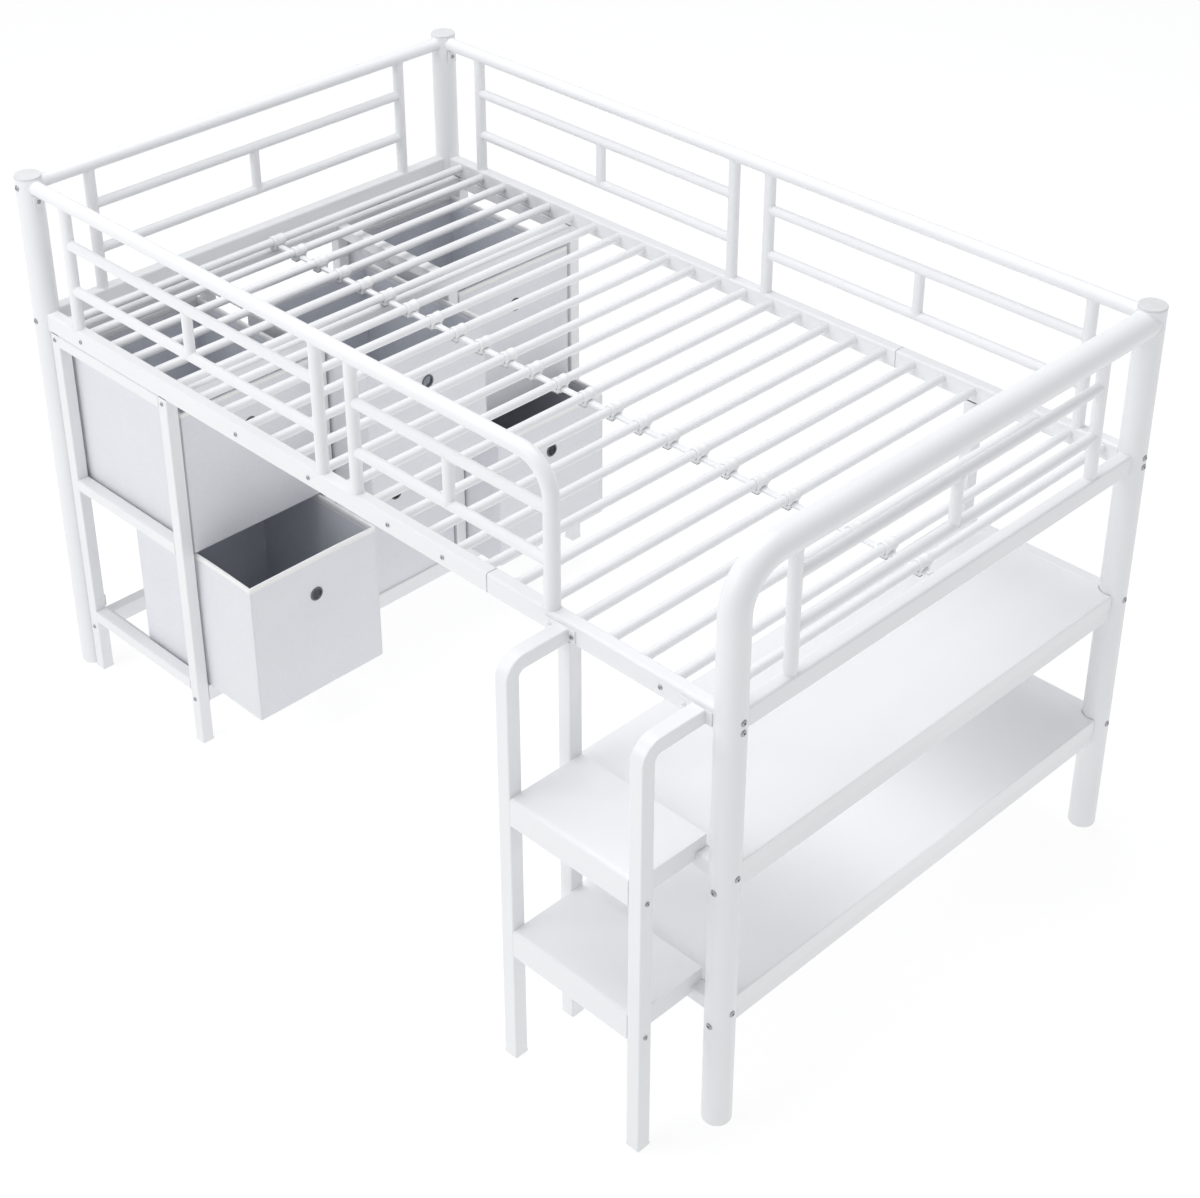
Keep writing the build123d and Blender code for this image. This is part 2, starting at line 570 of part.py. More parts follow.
with BuildPart() as cabinet_uprights:
    for x in CAB_X:
        for sy in (-1, 1):
            square((x, sy * CAB_INNER, LOW_BAR[1] + WELD), (x, sy * CAB_INNER, CAB_HEAD - WELD),
                   CAB, CAB)
cabinet_uprights.part.label = "cabinet_uprights"
export_step(cabinet_uprights.part, "parts/cabinet_uprights.step")

LOW_MID = sum(LOW_BAR) / 2
with BuildPart() as cabinet_low_bars:
    for x in CAB_X:
        square((x, -LEG_FACE + WELD, LOW_MID), (x, LEG_FACE - WELD, LOW_MID), CAB,
               LOW_BAR[1] - LOW_BAR[0])
cabinet_low_bars.part.label = "cabinet_low_bars"
export_step(cabinet_low_bars.part, "parts/cabinet_low_bars.step")

with BuildPart() as cabinet_top_bars:
    for x in CAB_X:
        square((x, -LEG_FACE + WELD, CAB_TOP - CAB / 2), (x, LEG_FACE - WELD, CAB_TOP - CAB / 2),
               CAB, CAB - 2 * WELD)
cabinet_top_bars.part.label = "cabinet_top_bars"
export_step(cabinet_top_bars.part, "parts/cabinet_top_bars.step")

CAB_ROWS = (-Y2, -CAB_INNER, CAB_INNER, Y2)
for rail_name, low in (("low", LOW_RAIL), ("mid", MID_RAIL), ("top", CAB_HEAD)):
    with BuildPart() as cabinet_rails:
        for y in CAB_ROWS:
            start = LOW_BAR[1] + WELD if rail_name == "low" and abs(y) < Y2 else low
            high = low + CAB - 2 * WELD
            mid = (start + high) / 2
            square((CAB_X0 + WELD, y, mid), (CAB_X1 - WELD, y, mid), CAB, high - start)
    cabinet_rails.part.label = "cabinet_rails_" + rail_name
    export_step(cabinet_rails.part, "parts/cabinet_rails_" + rail_name + ".step")

# Ledges that the bins slide on, with a small stop behind each
COLUMNS = {"front": -CAB_COLUMN, "mid": 0.0, "back": CAB_COLUMN}
with BuildPart() as bin_ledges:
    for col_name, y in COLUMNS.items():
        half = OPEN_MID if col_name == "mid" else OPEN_HALF
        for s in (-1, 1):
            rail_face = y + s * half
            inner = rail_face - s * LEDGE_W
            for floor in (LOW_BAR[1], MID_RAIL):
                wide = sorted((rail_face - s * WELD, inner))
                ends = (CAB_X0 + WELD, CAB_X1 - WELD)
                block(ends, wide, (floor - LEDGE_T, floor - WELD))
bin_ledges.part.label = "bin_ledges"
export_step(bin_ledges.part, "parts/bin_ledges.step")

with BuildPart() as bin_stops:
    stop_x = (CAB_X[0] - CAB / 2, CAB_X[0] - CAB / 2 + STOP_T)
    for col_name, y in COLUMNS.items():
        half = OPEN_MID if col_name == "mid" else OPEN_HALF
        for s in (-1, 1):
            face = y + s * half
            for floor in (LOW_BAR[1], MID_RAIL):
                block(stop_x, sorted((face - s * WELD, face - s * LEDGE_W)),
                      (floor + 4, floor + 32))
bin_stops.part.label = "bin_stops"
export_step(bin_stops.part, "parts/bin_stops.step")

# Square plugs under the ladder, desk and cabinet legs
with BuildPart() as leg_plugs:
    spots = [(x, LADDER_Y, LEG) for x in LADDER_X]
    spots = spots + [(LADDER_X[0], sy * Y2, LEG) for sy in (-1, 1)]
    spots = spots + [(x, sy * Y2, CAB) for x in CAB_X for sy in (-1, 1)]
    for x, y, size in spots:
        h = size / 2
        k = h - WALL - 0.3
        block((x - h, x + h), (y - h, y + h), (0, FOOT_T - WELD))
    fillet(leg_plugs.faces().filter_by(Axis.Z).group_by(Axis.Z)[0].edges(), 1.5)
    for x, y, size in spots:
        k = size / 2 - WALL - 0.5
        block((x - k, x + k), (y - k, y + k), (FOOT_T - WELD, FOOT_T + 12))
leg_plugs.part.label = "leg_plugs"
export_step(leg_plugs.part, "parts/leg_plugs.step")

# Bins: five stiffened fabric panels each, with a finger hole in the front
ROW_FLOOR = {"low": LOW_BAR[1] + BIN_GAP, "top": MID_RAIL + BIN_GAP}
for row_name, floor in ROW_FLOOR.items():
    for col_name, y in COLUMNS.items():
        key = row_name + "_" + col_name
        x1 = BIN_FRONT + PULLED.get(key, 0.0)
        x0 = x1 - BIN_L
        y0 = y - BIN_W / 2
        y1 = y + BIN_W / 2
        hole_z = floor + BIN_H - HOLE_DROP
        with BuildPart() as bin_body:
            block((x0, x1), (y0, y1), (floor, floor + BIN_T))
            block((x1 - BIN_T, x1), (y0, y1), (floor + BIN_T + WELD, floor + BIN_H))
            rod((x1 - BIN_T - 1, y, hole_z), (x1 + 1, y, hole_z), HOLE_D, Mode.SUBTRACT)
            block((x0, x0 + BIN_T), (y0, y1), (floor + BIN_T + WELD, floor + BIN_H))
            for side_y in ((y0, y0 + BIN_T), (y1 - BIN_T, y1)):
                block((x0 + BIN_T + WELD, x1 - BIN_T - WELD), side_y,
                      (floor + BIN_T + WELD, floor + BIN_H))
        bin_body.part.label = "bin_" + key
        export_step(bin_body.part, "parts/bin_" + key + ".step")
        with BuildPart() as grommet:
            rod((x1 + WELD, y, hole_z), (x1 + 1.6, y, hole_z), RING_D)
            rod((x1 - BIN_T - 1.6, y, hole_z), (x1 - BIN_T - WELD, y, hole_z), RING_D)
            rod((x1 - BIN_T - 1.6, y, hole_z), (x1 + 1.6, y, hole_z), HOLE_D - 0.3)
            rod((x1 - BIN_T - 3, y, hole_z), (x1 + 3, y, hole_z), HOLE_D - 3, Mode.SUBTRACT)
        grommet.part.label = "grommet_" + key
        export_step(grommet.part, "parts/grommet_" + key + ".step")

# Bolts through the posts
with BuildPart() as post_bolts:
    for sx, sy, z in BOLTS_X:
        bolt(sx * (X2 + SEAT), sy * Y2, z, (sx, 0, 0), HEAD_D, SHANK_D, POST_D + 6)
    for sx, sy, z in BOLTS_Y:
        bolt(sx * X2, sy * (Y2 + SEAT), z, (0, sy, 0), HEAD_D, SHANK_D, POST_D + 6)
post_bolts.part.label = "post_bolts"
export_step(post_bolts.part, "parts/post_bolts.step")

# Small screws in the side rails, the guard tabs and the ladder plates
with BuildPart() as rail_screws:
    for x, sy in RAIL_SPOTS:
        bolt(x, sy * (RAIL_OUT + WELD), RAIL_MID, (0, sy, 0), SCREW_D, THREAD_D, 6)
    for x in PLATE_X:
        bolt(x, PLATE_Y[0] - WELD, PLATE_Z, (0, -1, 0), SCREW_D, THREAD_D, 9)
    for sx, sy in TAB_SPOTS:
        face = sx * (X2 - POST_D / 2 - 2 * WELD - TAB)
        bolt(face, sy * Y2, TAB_Z, (-sx, 0, 0), SCREW_D, THREAD_D, 9)
rail_screws.part.label = "rail_screws"
export_step(rail_screws.part, "parts/rail_screws.step")

# Small screws in the cabinet legs and the ladder legs
with BuildPart() as leg_screws:
    for x in CAB_X:
        for sy in (-1, 1):
            for z in CAB_SCREWS:
                bolt(x, sy * (LEG_FACE + CAB + WELD), z, (0, sy, 0), SCREW_D, THREAD_D, CAB + 6)
    for s, x in zip((-1, 1), LADDER_X):
        for z in STEP_SCREWS:
            bolt(x + s * (LEG / 2 + WELD), LADDER_Y, z, (s, 0, 0), SCREW_D, THREAD_D, LEG + 6)
leg_screws.part.label = "leg_screws"
export_step(leg_screws.part, "parts/leg_screws.step")
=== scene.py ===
import bpy
import bmesh
import math
from mathutils import Matrix, Vector


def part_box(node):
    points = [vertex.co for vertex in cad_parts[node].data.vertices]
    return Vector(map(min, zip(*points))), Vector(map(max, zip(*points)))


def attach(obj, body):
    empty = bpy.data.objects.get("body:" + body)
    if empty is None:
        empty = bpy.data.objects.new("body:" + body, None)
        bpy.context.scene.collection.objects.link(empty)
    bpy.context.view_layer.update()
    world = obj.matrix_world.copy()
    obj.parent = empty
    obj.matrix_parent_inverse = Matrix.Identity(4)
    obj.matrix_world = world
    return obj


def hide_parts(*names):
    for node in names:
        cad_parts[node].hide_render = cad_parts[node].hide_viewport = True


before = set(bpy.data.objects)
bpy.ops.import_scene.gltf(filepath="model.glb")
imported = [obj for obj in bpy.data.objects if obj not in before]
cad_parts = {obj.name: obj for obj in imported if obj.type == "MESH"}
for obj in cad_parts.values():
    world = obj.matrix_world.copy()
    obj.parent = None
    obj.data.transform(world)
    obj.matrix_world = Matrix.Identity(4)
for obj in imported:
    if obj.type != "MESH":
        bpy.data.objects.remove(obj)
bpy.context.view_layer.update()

# Setting. A wide white floor under soft daylight: two big soft windows, one on the ladder
# side and one over the bed, a bright even room all round, and four weak lamps that lift
# the shadows over and under the desk and the upper step.
floor_mesh = bpy.data.meshes.new("studio_floor")
reach = 30
floor_corners = [(-reach, -reach, 0), (reach, -reach, 0), (reach, reach, 0), (-reach, reach, 0)]
floor_mesh.from_pydata(floor_corners, [], [(0, 1, 2, 3)])
studio_floor = bpy.data.objects.new("studio_floor", floor_mesh)
bpy.context.collection.objects.link(studio_floor)

floor_paint = bpy.data.materials.new("floor_paint")
floor_paint.use_nodes = True
floor_shader = floor_paint.node_tree.nodes["Principled BSDF"]
floor_shader.inputs["Base Color"].default_value = (0.25, 0.25, 0.25, 1)
floor_shader.inputs["Roughness"].default_value = 0.9
floor_shader.inputs["Emission Color"].default_value = (1, 1, 1, 1)
floor_shader.inputs["Emission Strength"].default_value = 0.79
floor_mesh.materials.append(floor_paint)

room = bpy.data.worlds.new("bright_room")
room.use_nodes = True
room.node_tree.nodes["Background"].inputs["Color"].default_value = (0.968, 0.98, 1.0, 1)
room.node_tree.nodes["Background"].inputs["Strength"].default_value = 0.58
bpy.context.scene.world = room
bpy.context.scene.view_settings.view_transform = "Standard"


def soft_window(name, place, aim, width, height, power):
    light = bpy.data.lights.new(name, "AREA")
    light.shape = "RECTANGLE"
    light.size = width
    light.size_y = height
    light.energy = power
    lamp = bpy.data.objects.new(name, light)
    lamp.location = place
    lamp.rotation_euler = (Vector(aim) - Vector(place)).to_track_quat("-Z", "Y").to_euler()
    bpy.context.collection.objects.link(lamp)


soft_window("window_ladder_side", (-1.6, -5.0, 3.6), (0, 0, 0.5), 4.0, 3.0, 94)
soft_window("window_above", (-0.5, 0.2, 5.0), (0, 0, 0.5), 4.0, 3.0, 104)
desk_low, desk_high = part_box("desk_board")
step_low, step_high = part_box("ladder_step_upper")
desk_x, desk_y = (desk_low.x + desk_high.x) / 2, (desk_low.y + desk_high.y) / 2
step_x, step_y = (step_low.x + step_high.x) / 2, (step_low.y + step_high.y) / 2
lamp_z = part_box("side_rail_back_foot")[0].z - 0.02
soft_window("lamp_under_desk", (desk_x, desk_y, desk_low.z - 0.05), (desk_x, desk_y, 0), 0.95, 0.3, 0.62)
soft_window("lamp_over_desk", (desk_x, desk_y, lamp_z), (desk_x, desk_y, 0), 0.95, 0.3, 0.2)
soft_window("lamp_over_step", (step_x, step_y, lamp_z), (step_x, step_y, 0), 0.1, 0.25, 0.02)
soft_window("lamp_under_step", (step_x, step_y, step_low.z - 0.01), (step_x, step_y, 0), 0.1, 0.22, 0.07)

camera_data = bpy.data.cameras.new("camera")
camera_data.sensor_fit = "HORIZONTAL"
camera_data.sensor_width = 36.0
camera_data.lens = 67.908
camera_data.shift_y = -0.1492
camera_data.clip_end = 100.0
camera = bpy.data.objects.new("camera", camera_data)
camera.location = (2.8512, -2.6790, 3.1427)
camera.rotation_euler = (math.radians(90 - 30.552), 0, math.radians(44.931))
bpy.context.collection.objects.link(camera)
bpy.context.scene.camera = camera


# Powder-coated steel tube. Every tube of the bed is steel with a satin white powder coat,
# which bakes to a faint orange peel and dulls a little where hands rub it.
def shader_of(name, color, roughness):
    material = bpy.data.materials.new(name)
    material.use_nodes = True
    shader = material.node_tree.nodes["Principled BSDF"]
    shader.inputs["Base Color"].default_value = (*color, 1)
    shader.inputs["Roughness"].default_value = roughness
    return material, material.node_tree, shader


def add_node(tree, kind, **inputs):
    node = tree.nodes.new(kind)
    for key, value in inputs.items():
        node.inputs[key.replace("_", " ")].default_value = value
    return node


def link_all(tree, *pairs):
    for output, target in pairs:
        tree.links.new(output, target)


def tint_by(tree, shader, field, low, high):
    """The shader's colour runs from low to high with a field."""
    ramp = tree.nodes.new("ShaderNodeValToRGB")
    ramp.color_ramp.elements[0].color = (*low, 1)
    ramp.color_ramp.elements[0].position = 0.3
    ramp.color_ramp.elements[1].color = (*high, 1)
    ramp.color_ramp.elements[1].position = 0.7
    tree.links.new(field, ramp.inputs["Fac"])
    tree.links.new(ramp.outputs["Color"], shader.inputs["Base Color"])


def rough_by(tree, shader, field, low, high):
    spread = tree.nodes.new("ShaderNodeMapRange")
    spread.inputs["To Min"].default_value = low
    spread.inputs["To Max"].default_value = high
    tree.links.new(field, spread.inputs["Value"])
    tree.links.new(spread.outputs["Result"], shader.inputs["Roughness"])


def raise_by(tree, shader, field, depth, strength=1.0):
    bump = add_node(tree, "ShaderNodeBump", Strength=strength, Distance=depth)
    tree.links.new(field, bump.inputs["Height"])
    tree.links.new(bump.outputs["Normal"], shader.inputs["Normal"])


def powder_coat(name, low, high, roughness):
    material, tree, shader = shader_of(name, high, roughness)
    place = tree.nodes.new("ShaderNodeTexCoord")
    peel = add_node(tree, "ShaderNodeTexNoise", Scale=900.0, Detail=2.0)
    tone = add_node(tree, "ShaderNodeTexNoise", Scale=3.5, Detail=3.0)
    rub = add_node(tree, "ShaderNodeTexNoise", Scale=24.0, Detail=4.0)
    for noise in (peel, tone, rub):
        tree.links.new(place.outputs["Object"], noise.inputs["Vector"])
    tint_by(tree, shader, tone.outputs["Fac"], low, high)
    rough_by(tree, shader, rub.outputs["Fac"], roughness - 0.07, roughness + 0.09)
    raise_by(tree, shader, peel.outputs["Fac"], 0.00006, 0.5)
    return material


frame_coat = powder_coat("frame_powder_coat", (0.83, 0.835, 0.85), (0.853, 0.857, 0.87), 0.36)


def finish_node(name, material):
    """A carried-over CAD piece takes its real finish."""
    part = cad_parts[name]
    part.data.materials.clear()
    part.data.materials.append(material)


for post in ("post_head_front", "post_head_back", "post_foot_back", "foot_bent_tube"):
    finish_node(post, frame_coat)

# Post caps and glides. Push-in mouldings of white plastic close the three straight posts,
# and rounded ones stand under all four.
def moulding(name, low, high):
    material, tree, shader = shader_of(name, high, 0.45)
    place = tree.nodes.new("ShaderNodeTexCoord")
    grain = add_node(tree, "ShaderNodeTexNoise", Scale=1600.0, Detail=1.0)
    flow = add_node(tree, "ShaderNodeTexNoise", Scale=40.0, Detail=3.0)
    tree.links.new(place.outputs["Object"], grain.inputs["Vector"])
    tree.links.new(place.outputs["Object"], flow.inputs["Vector"])
    tint_by(tree, shader, flow.outputs["Fac"], low, high)
    rough_by(tree, shader, flow.outputs["Fac"], 0.4, 0.52)
    raise_by(tree, shader, grain.outputs["Fac"], 0.00005, 0.6)
    return material


# The caps take a greyer copy of the white plastic: painted shade that tones down the strong light falling on
# their up-facing tops.
shaded_cap_plastic = moulding("cap_moulding", (0.68, 0.685, 0.69), (0.72, 0.725, 0.73))
white_plastic = moulding("white_moulding", (0.84, 0.845, 0.85), (0.87, 0.873, 0.88))
finish_node("post_caps", shaded_cap_plastic)
for moulded in ("post_glides", "leg_plugs"):
    finish_node(moulded, white_plastic)

# Head and foot panels. A low crossbar, two uprights, two middle tubes and a spacer between
# them, all welded; the head has a thinner top tube than the foot.
for panel in ("head_top_rail", "head_crossbar", "head_panel_bars", "foot_crossbar", "foot_panel_bars"):
    finish_node(panel, frame_coat)

# Front and back guards. Round tube, welded, with flat tabs screwed to the posts; the front
# one bends down beside the ladder to leave the way in.
for guard in ("front_guard_rail", "front_guard_bars", "back_guard_rail", "back_guard_bars", "guard_tabs"):
    finish_node(guard, frame_coat)

# Side rails. Rounded rectangular tube in two lengths each, which meet over a hidden sleeve.
for rail in ("side_rail_front_head", "side_rail_front_foot", "side_rail_back_head",
             "side_rail_back_foot", "rail_sleeves"):
    finish_node(rail, frame_coat)

# Slats. Thin round tubes from rail to rail, tied in the middle by one flat bar.
for slat in ("slats", "slat_tie"):
    finish_node(slat, frame_coat)

# Slat clips. Small white mouldings: a ring snaps round each slat, and a ribbed cradle under
# it holds the flat tie bar.
tie_low, tie_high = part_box("slat_tie")
slat_low, slat_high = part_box("slats")
clip_low, clip_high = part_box("slat_clips")
slat_centre = (slat_low.z + slat_high.z) / 2
slat_radius = (slat_high.z - slat_low.z) / 2
clip_radius = clip_high.z - slat_centre
clip_half = (clip_high.y - clip_low.y) / 2
clip_middle = (clip_high.y + clip_low.y) / 2


def lathe(profile, turns=32, axis="Z"):
    """A closed turned shape from (radius, height) pairs; a profile that closes makes a ring."""
    shape = bmesh.new()
    rings = []
    for k in range(turns):
        angle = 2 * math.pi * k / turns
        c, q = math.cos(angle), math.sin(angle)
        rings.append([shape.verts.new((r * c, r * q, h)) for r, h in profile])
    for k in range(turns):
        a, b = rings[k], rings[(k + 1) % turns]
        for j in range(len(profile) - 1):
            shape.faces.new((a[j], b[j], b[j + 1], a[j + 1]))
    bmesh.ops.remove_doubles(shape, verts=shape.verts, dist=1e-7)
    bmesh.ops.dissolve_degenerate(shape, edges=shape.edges, dist=1e-8)
    turn = {"Z": Matrix(), "Y": Matrix.Rotation(math.radians(-90), 4, "X"),
            "X": Matrix.Rotation(math.radians(90), 4, "Y")}[axis]
    bmesh.ops.transform(shape, matrix=turn, verts=shape.verts)
    return shape


def soften(mesh, angle=40):
    for face in mesh.polygons:
        face.use_smooth = True
    mesh.set_sharp_from_angle(angle=math.radians(angle))


def mesh_of(name, shape, outward=True):
    if outward:
        bmesh.ops.recalc_face_normals(shape, faces=shape.faces)
    mesh = bpy.data.meshes.new(name)
    shape.to_mesh(mesh)
    shape.free()
    return mesh


def linked(name, mesh):
    made = bpy.data.objects.new(name, mesh)
    bpy.context.collection.objects.link(made)
    return made


def settle(name, mesh, body, nodes):
    """The mesh becomes a piece on its body, in place of the nodes it stands for."""
    piece = linked(name, mesh)
    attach(piece, body)
    if nodes:
        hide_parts(*nodes)
    return piece


def piece_from(name, shape, material, slot, body, *nodes, angle=40):
    """A finished mesh piece, made from a bmesh shape."""
    mesh = mesh_of(name, shape)
    soften(mesh, angle)
    mesh.materials.append(material)
    return settle(name, mesh, body, nodes)


def add_block(shape, low, high, soft=0.0):
    made = bmesh.ops.create_cube(shape, size=1.0)["verts"]
    for v in made:
        v.co = Vector([low[i] + (v.co[i] + 0.5) * (high[i] - low[i]) for i in range(3)])
    if soft:
        edges = list({e for v in made for e in v.link_edges})
        bmesh.ops.bevel(shape, geom=edges, offset=soft, segments=2, affect="EDGES", profile=0.5)


# one clip, about the crossing of a slat and the tie bar
bore = slat_radius + 0.0002
bead_out, groove_out = clip_radius - 0.0002, clip_radius - 0.0012
clip_lip = 0.0008
clip = lathe([(bore, -clip_half), (clip_radius - clip_lip, -clip_half),
              (bead_out, -clip_half + clip_lip), (bead_out, -clip_half * 0.45),
              (groove_out, -clip_half * 0.35), (groove_out, clip_half * 0.35),
              (bead_out, clip_half * 0.45), (bead_out, clip_half - clip_lip),
              (clip_radius - clip_lip, clip_half), (bore, clip_half), (bore, -clip_half)], 28, "Y")
cradle_top = slat_low.z - slat_centre - 0.0004
cradle_low = clip_low.z - slat_centre
cradle_x, cradle_y, rib_half = 0.0088, clip_half - 0.001, 0.0011
for side in (-1, 1):
    across = sorted((side * (tie_high.y - tie_low.y + 0.0006) / 2, side * cradle_y))
    add_block(clip, (-cradle_x, across[0], cradle_low), (cradle_x, across[1], cradle_top), clip_lip)
    out = sorted((side * (clip_half - 0.0012), side * clip_half))
    for rib in (-0.006, 0.0, 0.006):
        add_block(clip, (rib - rib_half, out[0], cradle_low + 0.002),
                  (rib + rib_half, out[1], cradle_top + 0.004))
add_block(clip, (-cradle_x, -cradle_y, cradle_low), (cradle_x, cradle_y, cradle_low + 0.0034), clip_lip)
clip_mesh = mesh_of("clip_master", clip)
soften(clip_mesh, 35)
clip_master = bpy.data.objects.new("clip_master", clip_mesh)


def points_with(name, places, **directions):
    """Bare points that carry directions for Geometry Nodes to read."""
    mesh = bpy.data.meshes.new(name)
    mesh.from_pydata(places, [], [])
    for key, values in directions.items():
        layer = mesh.attributes.new(key, "FLOAT_VECTOR", "POINT")
        layer.data.foreach_set("vector", [c for v in values for c in v])
    return linked(name, mesh)


def new_tree(name, *sizes):
    tree = bpy.data.node_groups.new(name, "GeometryNodeTree")
    tree.interface.new_socket("Geometry", in_out="INPUT", socket_type="NodeSocketGeometry")
    tree.interface.new_socket("Geometry", in_out="OUTPUT", socket_type="NodeSocketGeometry")
    for label, kind in sizes:
        tree.interface.new_socket(label, in_out="INPUT", socket_type=kind)
    start = tree.nodes.new("NodeGroupInput")
    return tree, start


def close_tree(tree, start, geometry):
    """Every tree ends by making its copies real, in the finish it was given."""
    real = tree.nodes.new("GeometryNodeRealizeInstances")
    paint = tree.nodes.new("GeometryNodeSetMaterial")
    end = tree.nodes.new("NodeGroupOutput")
    link_all(tree, (geometry, real.inputs["Geometry"]),
             (real.outputs["Geometry"], paint.inputs["Geometry"]),
             (start.outputs["Finish"], paint.inputs["Material"]),
             (paint.outputs["Geometry"], end.inputs["Geometry"]))


def grow(holder, tree, name, slot, body, nodes=(), angle=40, **values):
    """Runs a tree on its points or path and keeps the result as a plain mesh piece."""
    modifier = holder.modifiers.new(name, "NODES")
    modifier.node_group = tree
    for item in tree.interface.items_tree:
        if item.in_out == "INPUT" and item.name.replace(" ", "_") in values:
            modifier[item.identifier] = values[item.name.replace(" ", "_")]
    bpy.context.view_layer.update()
    evaluated = holder.evaluated_get(bpy.context.evaluated_depsgraph_get())
    mesh = bpy.data.meshes.new_from_object(evaluated)
    mesh.name = name
    soften(mesh, angle)
    bpy.data.objects.remove(holder)
    return settle(name, mesh, body, nodes)


def vector_named(tree, name):
    read = tree.nodes.new("GeometryNodeInputNamedAttribute")
    read.data_type = "FLOAT_VECTOR"
    read.inputs["Name"].default_value = name
    return read.outputs["Attribute"]


# clips, bolts and screws are all one shape set on many points, turned to face a way
FINISH = ("Finish", "NodeSocketMaterial")
set_tree, set_start = new_tree("set_on_points", ("Part", "NodeSocketObject"), FINISH)
set_turn = set_tree.nodes.new("FunctionNodeAlignRotationToVector")
set_turn.axis = "Z"
set_part = set_tree.nodes.new("GeometryNodeObjectInfo")
set_copy = set_tree.nodes.new("GeometryNodeInstanceOnPoints")
link_all(set_tree, (vector_named(set_tree, "facing"), set_turn.inputs["Vector"]),
         (set_start.outputs["Part"], set_part.inputs["Object"]),
         (set_start.outputs["Geometry"], set_copy.inputs["Points"]),
         (set_part.outputs["Geometry"], set_copy.inputs["Instance"]),
         (set_turn.outputs["Rotation"], set_copy.inputs["Rotation"]))
close_tree(set_tree, set_start, set_copy.outputs["Instances"])

slat_count = 25
first_slat = slat_low.x + slat_radius
slat_pitch = (slat_high.x - slat_low.x - 2 * slat_radius) / (slat_count - 1)
clip_places = [(first_slat + k * slat_pitch, clip_middle, slat_centre) for k in range(slat_count)]
clip_points = points_with("clip_points", clip_places, facing=[(0, 0, 1)] * slat_count)
grow(clip_points, set_tree, "slat_clip_mouldings", "white_plastic", "frame", ("slat_clips",),
     Part=clip_master, Finish=white_plastic)

# Weld beads. Each tube end is run round with a thin bead where it meets the next tube, and
# the bead is coated over with the rest.
bead_tree, bead_start = new_tree("weld_bead", ("Tube Radius", "NodeSocketFloat"),
                                 ("Post Radius", "NodeSocketFloat"),
                                 ("Bead Radius", "NodeSocketFloat"), FINISH)
bead_ring = bead_tree.nodes.new("GeometryNodeCurvePrimitiveCircle")
bead_ring.inputs["Resolution"].default_value = 28
bead_place = bead_tree.nodes.new("GeometryNodeInputPosition")
bead_axes = bead_tree.nodes.new("ShaderNodeSeparateXYZ")


def maths(tree, operation, a, b=None):
    node = tree.nodes.new("ShaderNodeMath")
    node.operation = operation
    for socket, value in zip(node.inputs, (a, b)):
        if value is None:
            continue
        if isinstance(value, (int, float)):
            socket.default_value = value
        else:
            tree.links.new(value, socket)
    return node.outputs[0]


link_all(bead_tree, (bead_place.outputs[0], bead_axes.inputs[0]))
post_square = maths(bead_tree, "POWER", bead_start.outputs["Post Radius"], 2.0)
side_square = maths(bead_tree, "POWER", maths(bead_tree, "ABSOLUTE", bead_axes.outputs["Y"]), 2.0)
bead_drop = maths(bead_tree, "MAXIMUM", maths(bead_tree, "SUBTRACT", post_square, side_square), 0.0)
bead_rise = maths(bead_tree, "SQRT", bead_drop)
bead_offset = bead_tree.nodes.new("ShaderNodeCombineXYZ")
bead_saddle = bead_tree.nodes.new("GeometryNodeSetPosition")
bead_section = bead_tree.nodes.new("GeometryNodeCurvePrimitiveCircle")
bead_section.inputs["Resolution"].default_value = 6
bead_solid = bead_tree.nodes.new("GeometryNodeCurveToMesh")
bead_turn = bead_tree.nodes.new("FunctionNodeAxesToRotation")
bead_turn.primary_axis = "Z"
bead_turn.secondary_axis = "X"
bead_copy = bead_tree.nodes.new("GeometryNodeInstanceOnPoints")
link_all(bead_tree, (bead_rise, bead_offset.inputs["Z"]),
         (bead_start.outputs["Tube Radius"], bead_ring.inputs["Radius"]),
         (bead_ring.outputs["Curve"], bead_saddle.inputs["Geometry"]),
         (bead_offset.outputs[0], bead_saddle.inputs["Offset"]),
         (bead_start.outputs["Bead Radius"], bead_section.inputs["Radius"]),
         (bead_saddle.outputs["Geometry"], bead_solid.inputs["Curve"]),
         (bead_section.outputs["Curve"], bead_solid.inputs["Profile Curve"]),
         (vector_named(bead_tree, "along"), bead_turn.inputs["Primary Axis"]),
         (vector_named(bead_tree, "across"), bead_turn.inputs["Secondary Axis"]),
         (bead_start.outputs["Geometry"], bead_copy.inputs["Points"]),
         (bead_solid.outputs["Mesh"], bead_copy.inputs["Instance"]),
         (bead_turn.outputs["Rotation"], bead_copy.inputs["Rotation"]))
close_tree(bead_tree, bead_start, bead_copy.outputs["Instances"])

mid_radius = 0.011
upright_radius = 0.0125
rail_radius = 0.015
post_radius = 0.028
bead_radius = 0.0011


def middle_of(node, axis):
    return (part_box(node)[0][axis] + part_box(node)[1][axis]) / 2


X, Y, Z = 0, 1, 2
centre_y = middle_of("slats", Y)
side_y = middle_of("back_guard_rail", Y) - centre_y
head_x = middle_of("head_top_rail", X)
foot_x = -head_x
deck_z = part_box("side_rail_front_head")[1].z
rail_z = middle_of("head_top_rail", Z)
foot_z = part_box("foot_bent_tube")[1].z - post_radius
mids = [deck_z + part * (rail_z - deck_z) for part in (0.675, 0.311)]
UP, ALONG, ACROSS = Vector((0, 0, 1)), Vector((1, 0, 0)), Vector((0, 1, 0))
welds = {}


def weld(kind, place, along, across):
    welds.setdefault(kind, []).append((tuple(place), tuple(along), tuple(across)))


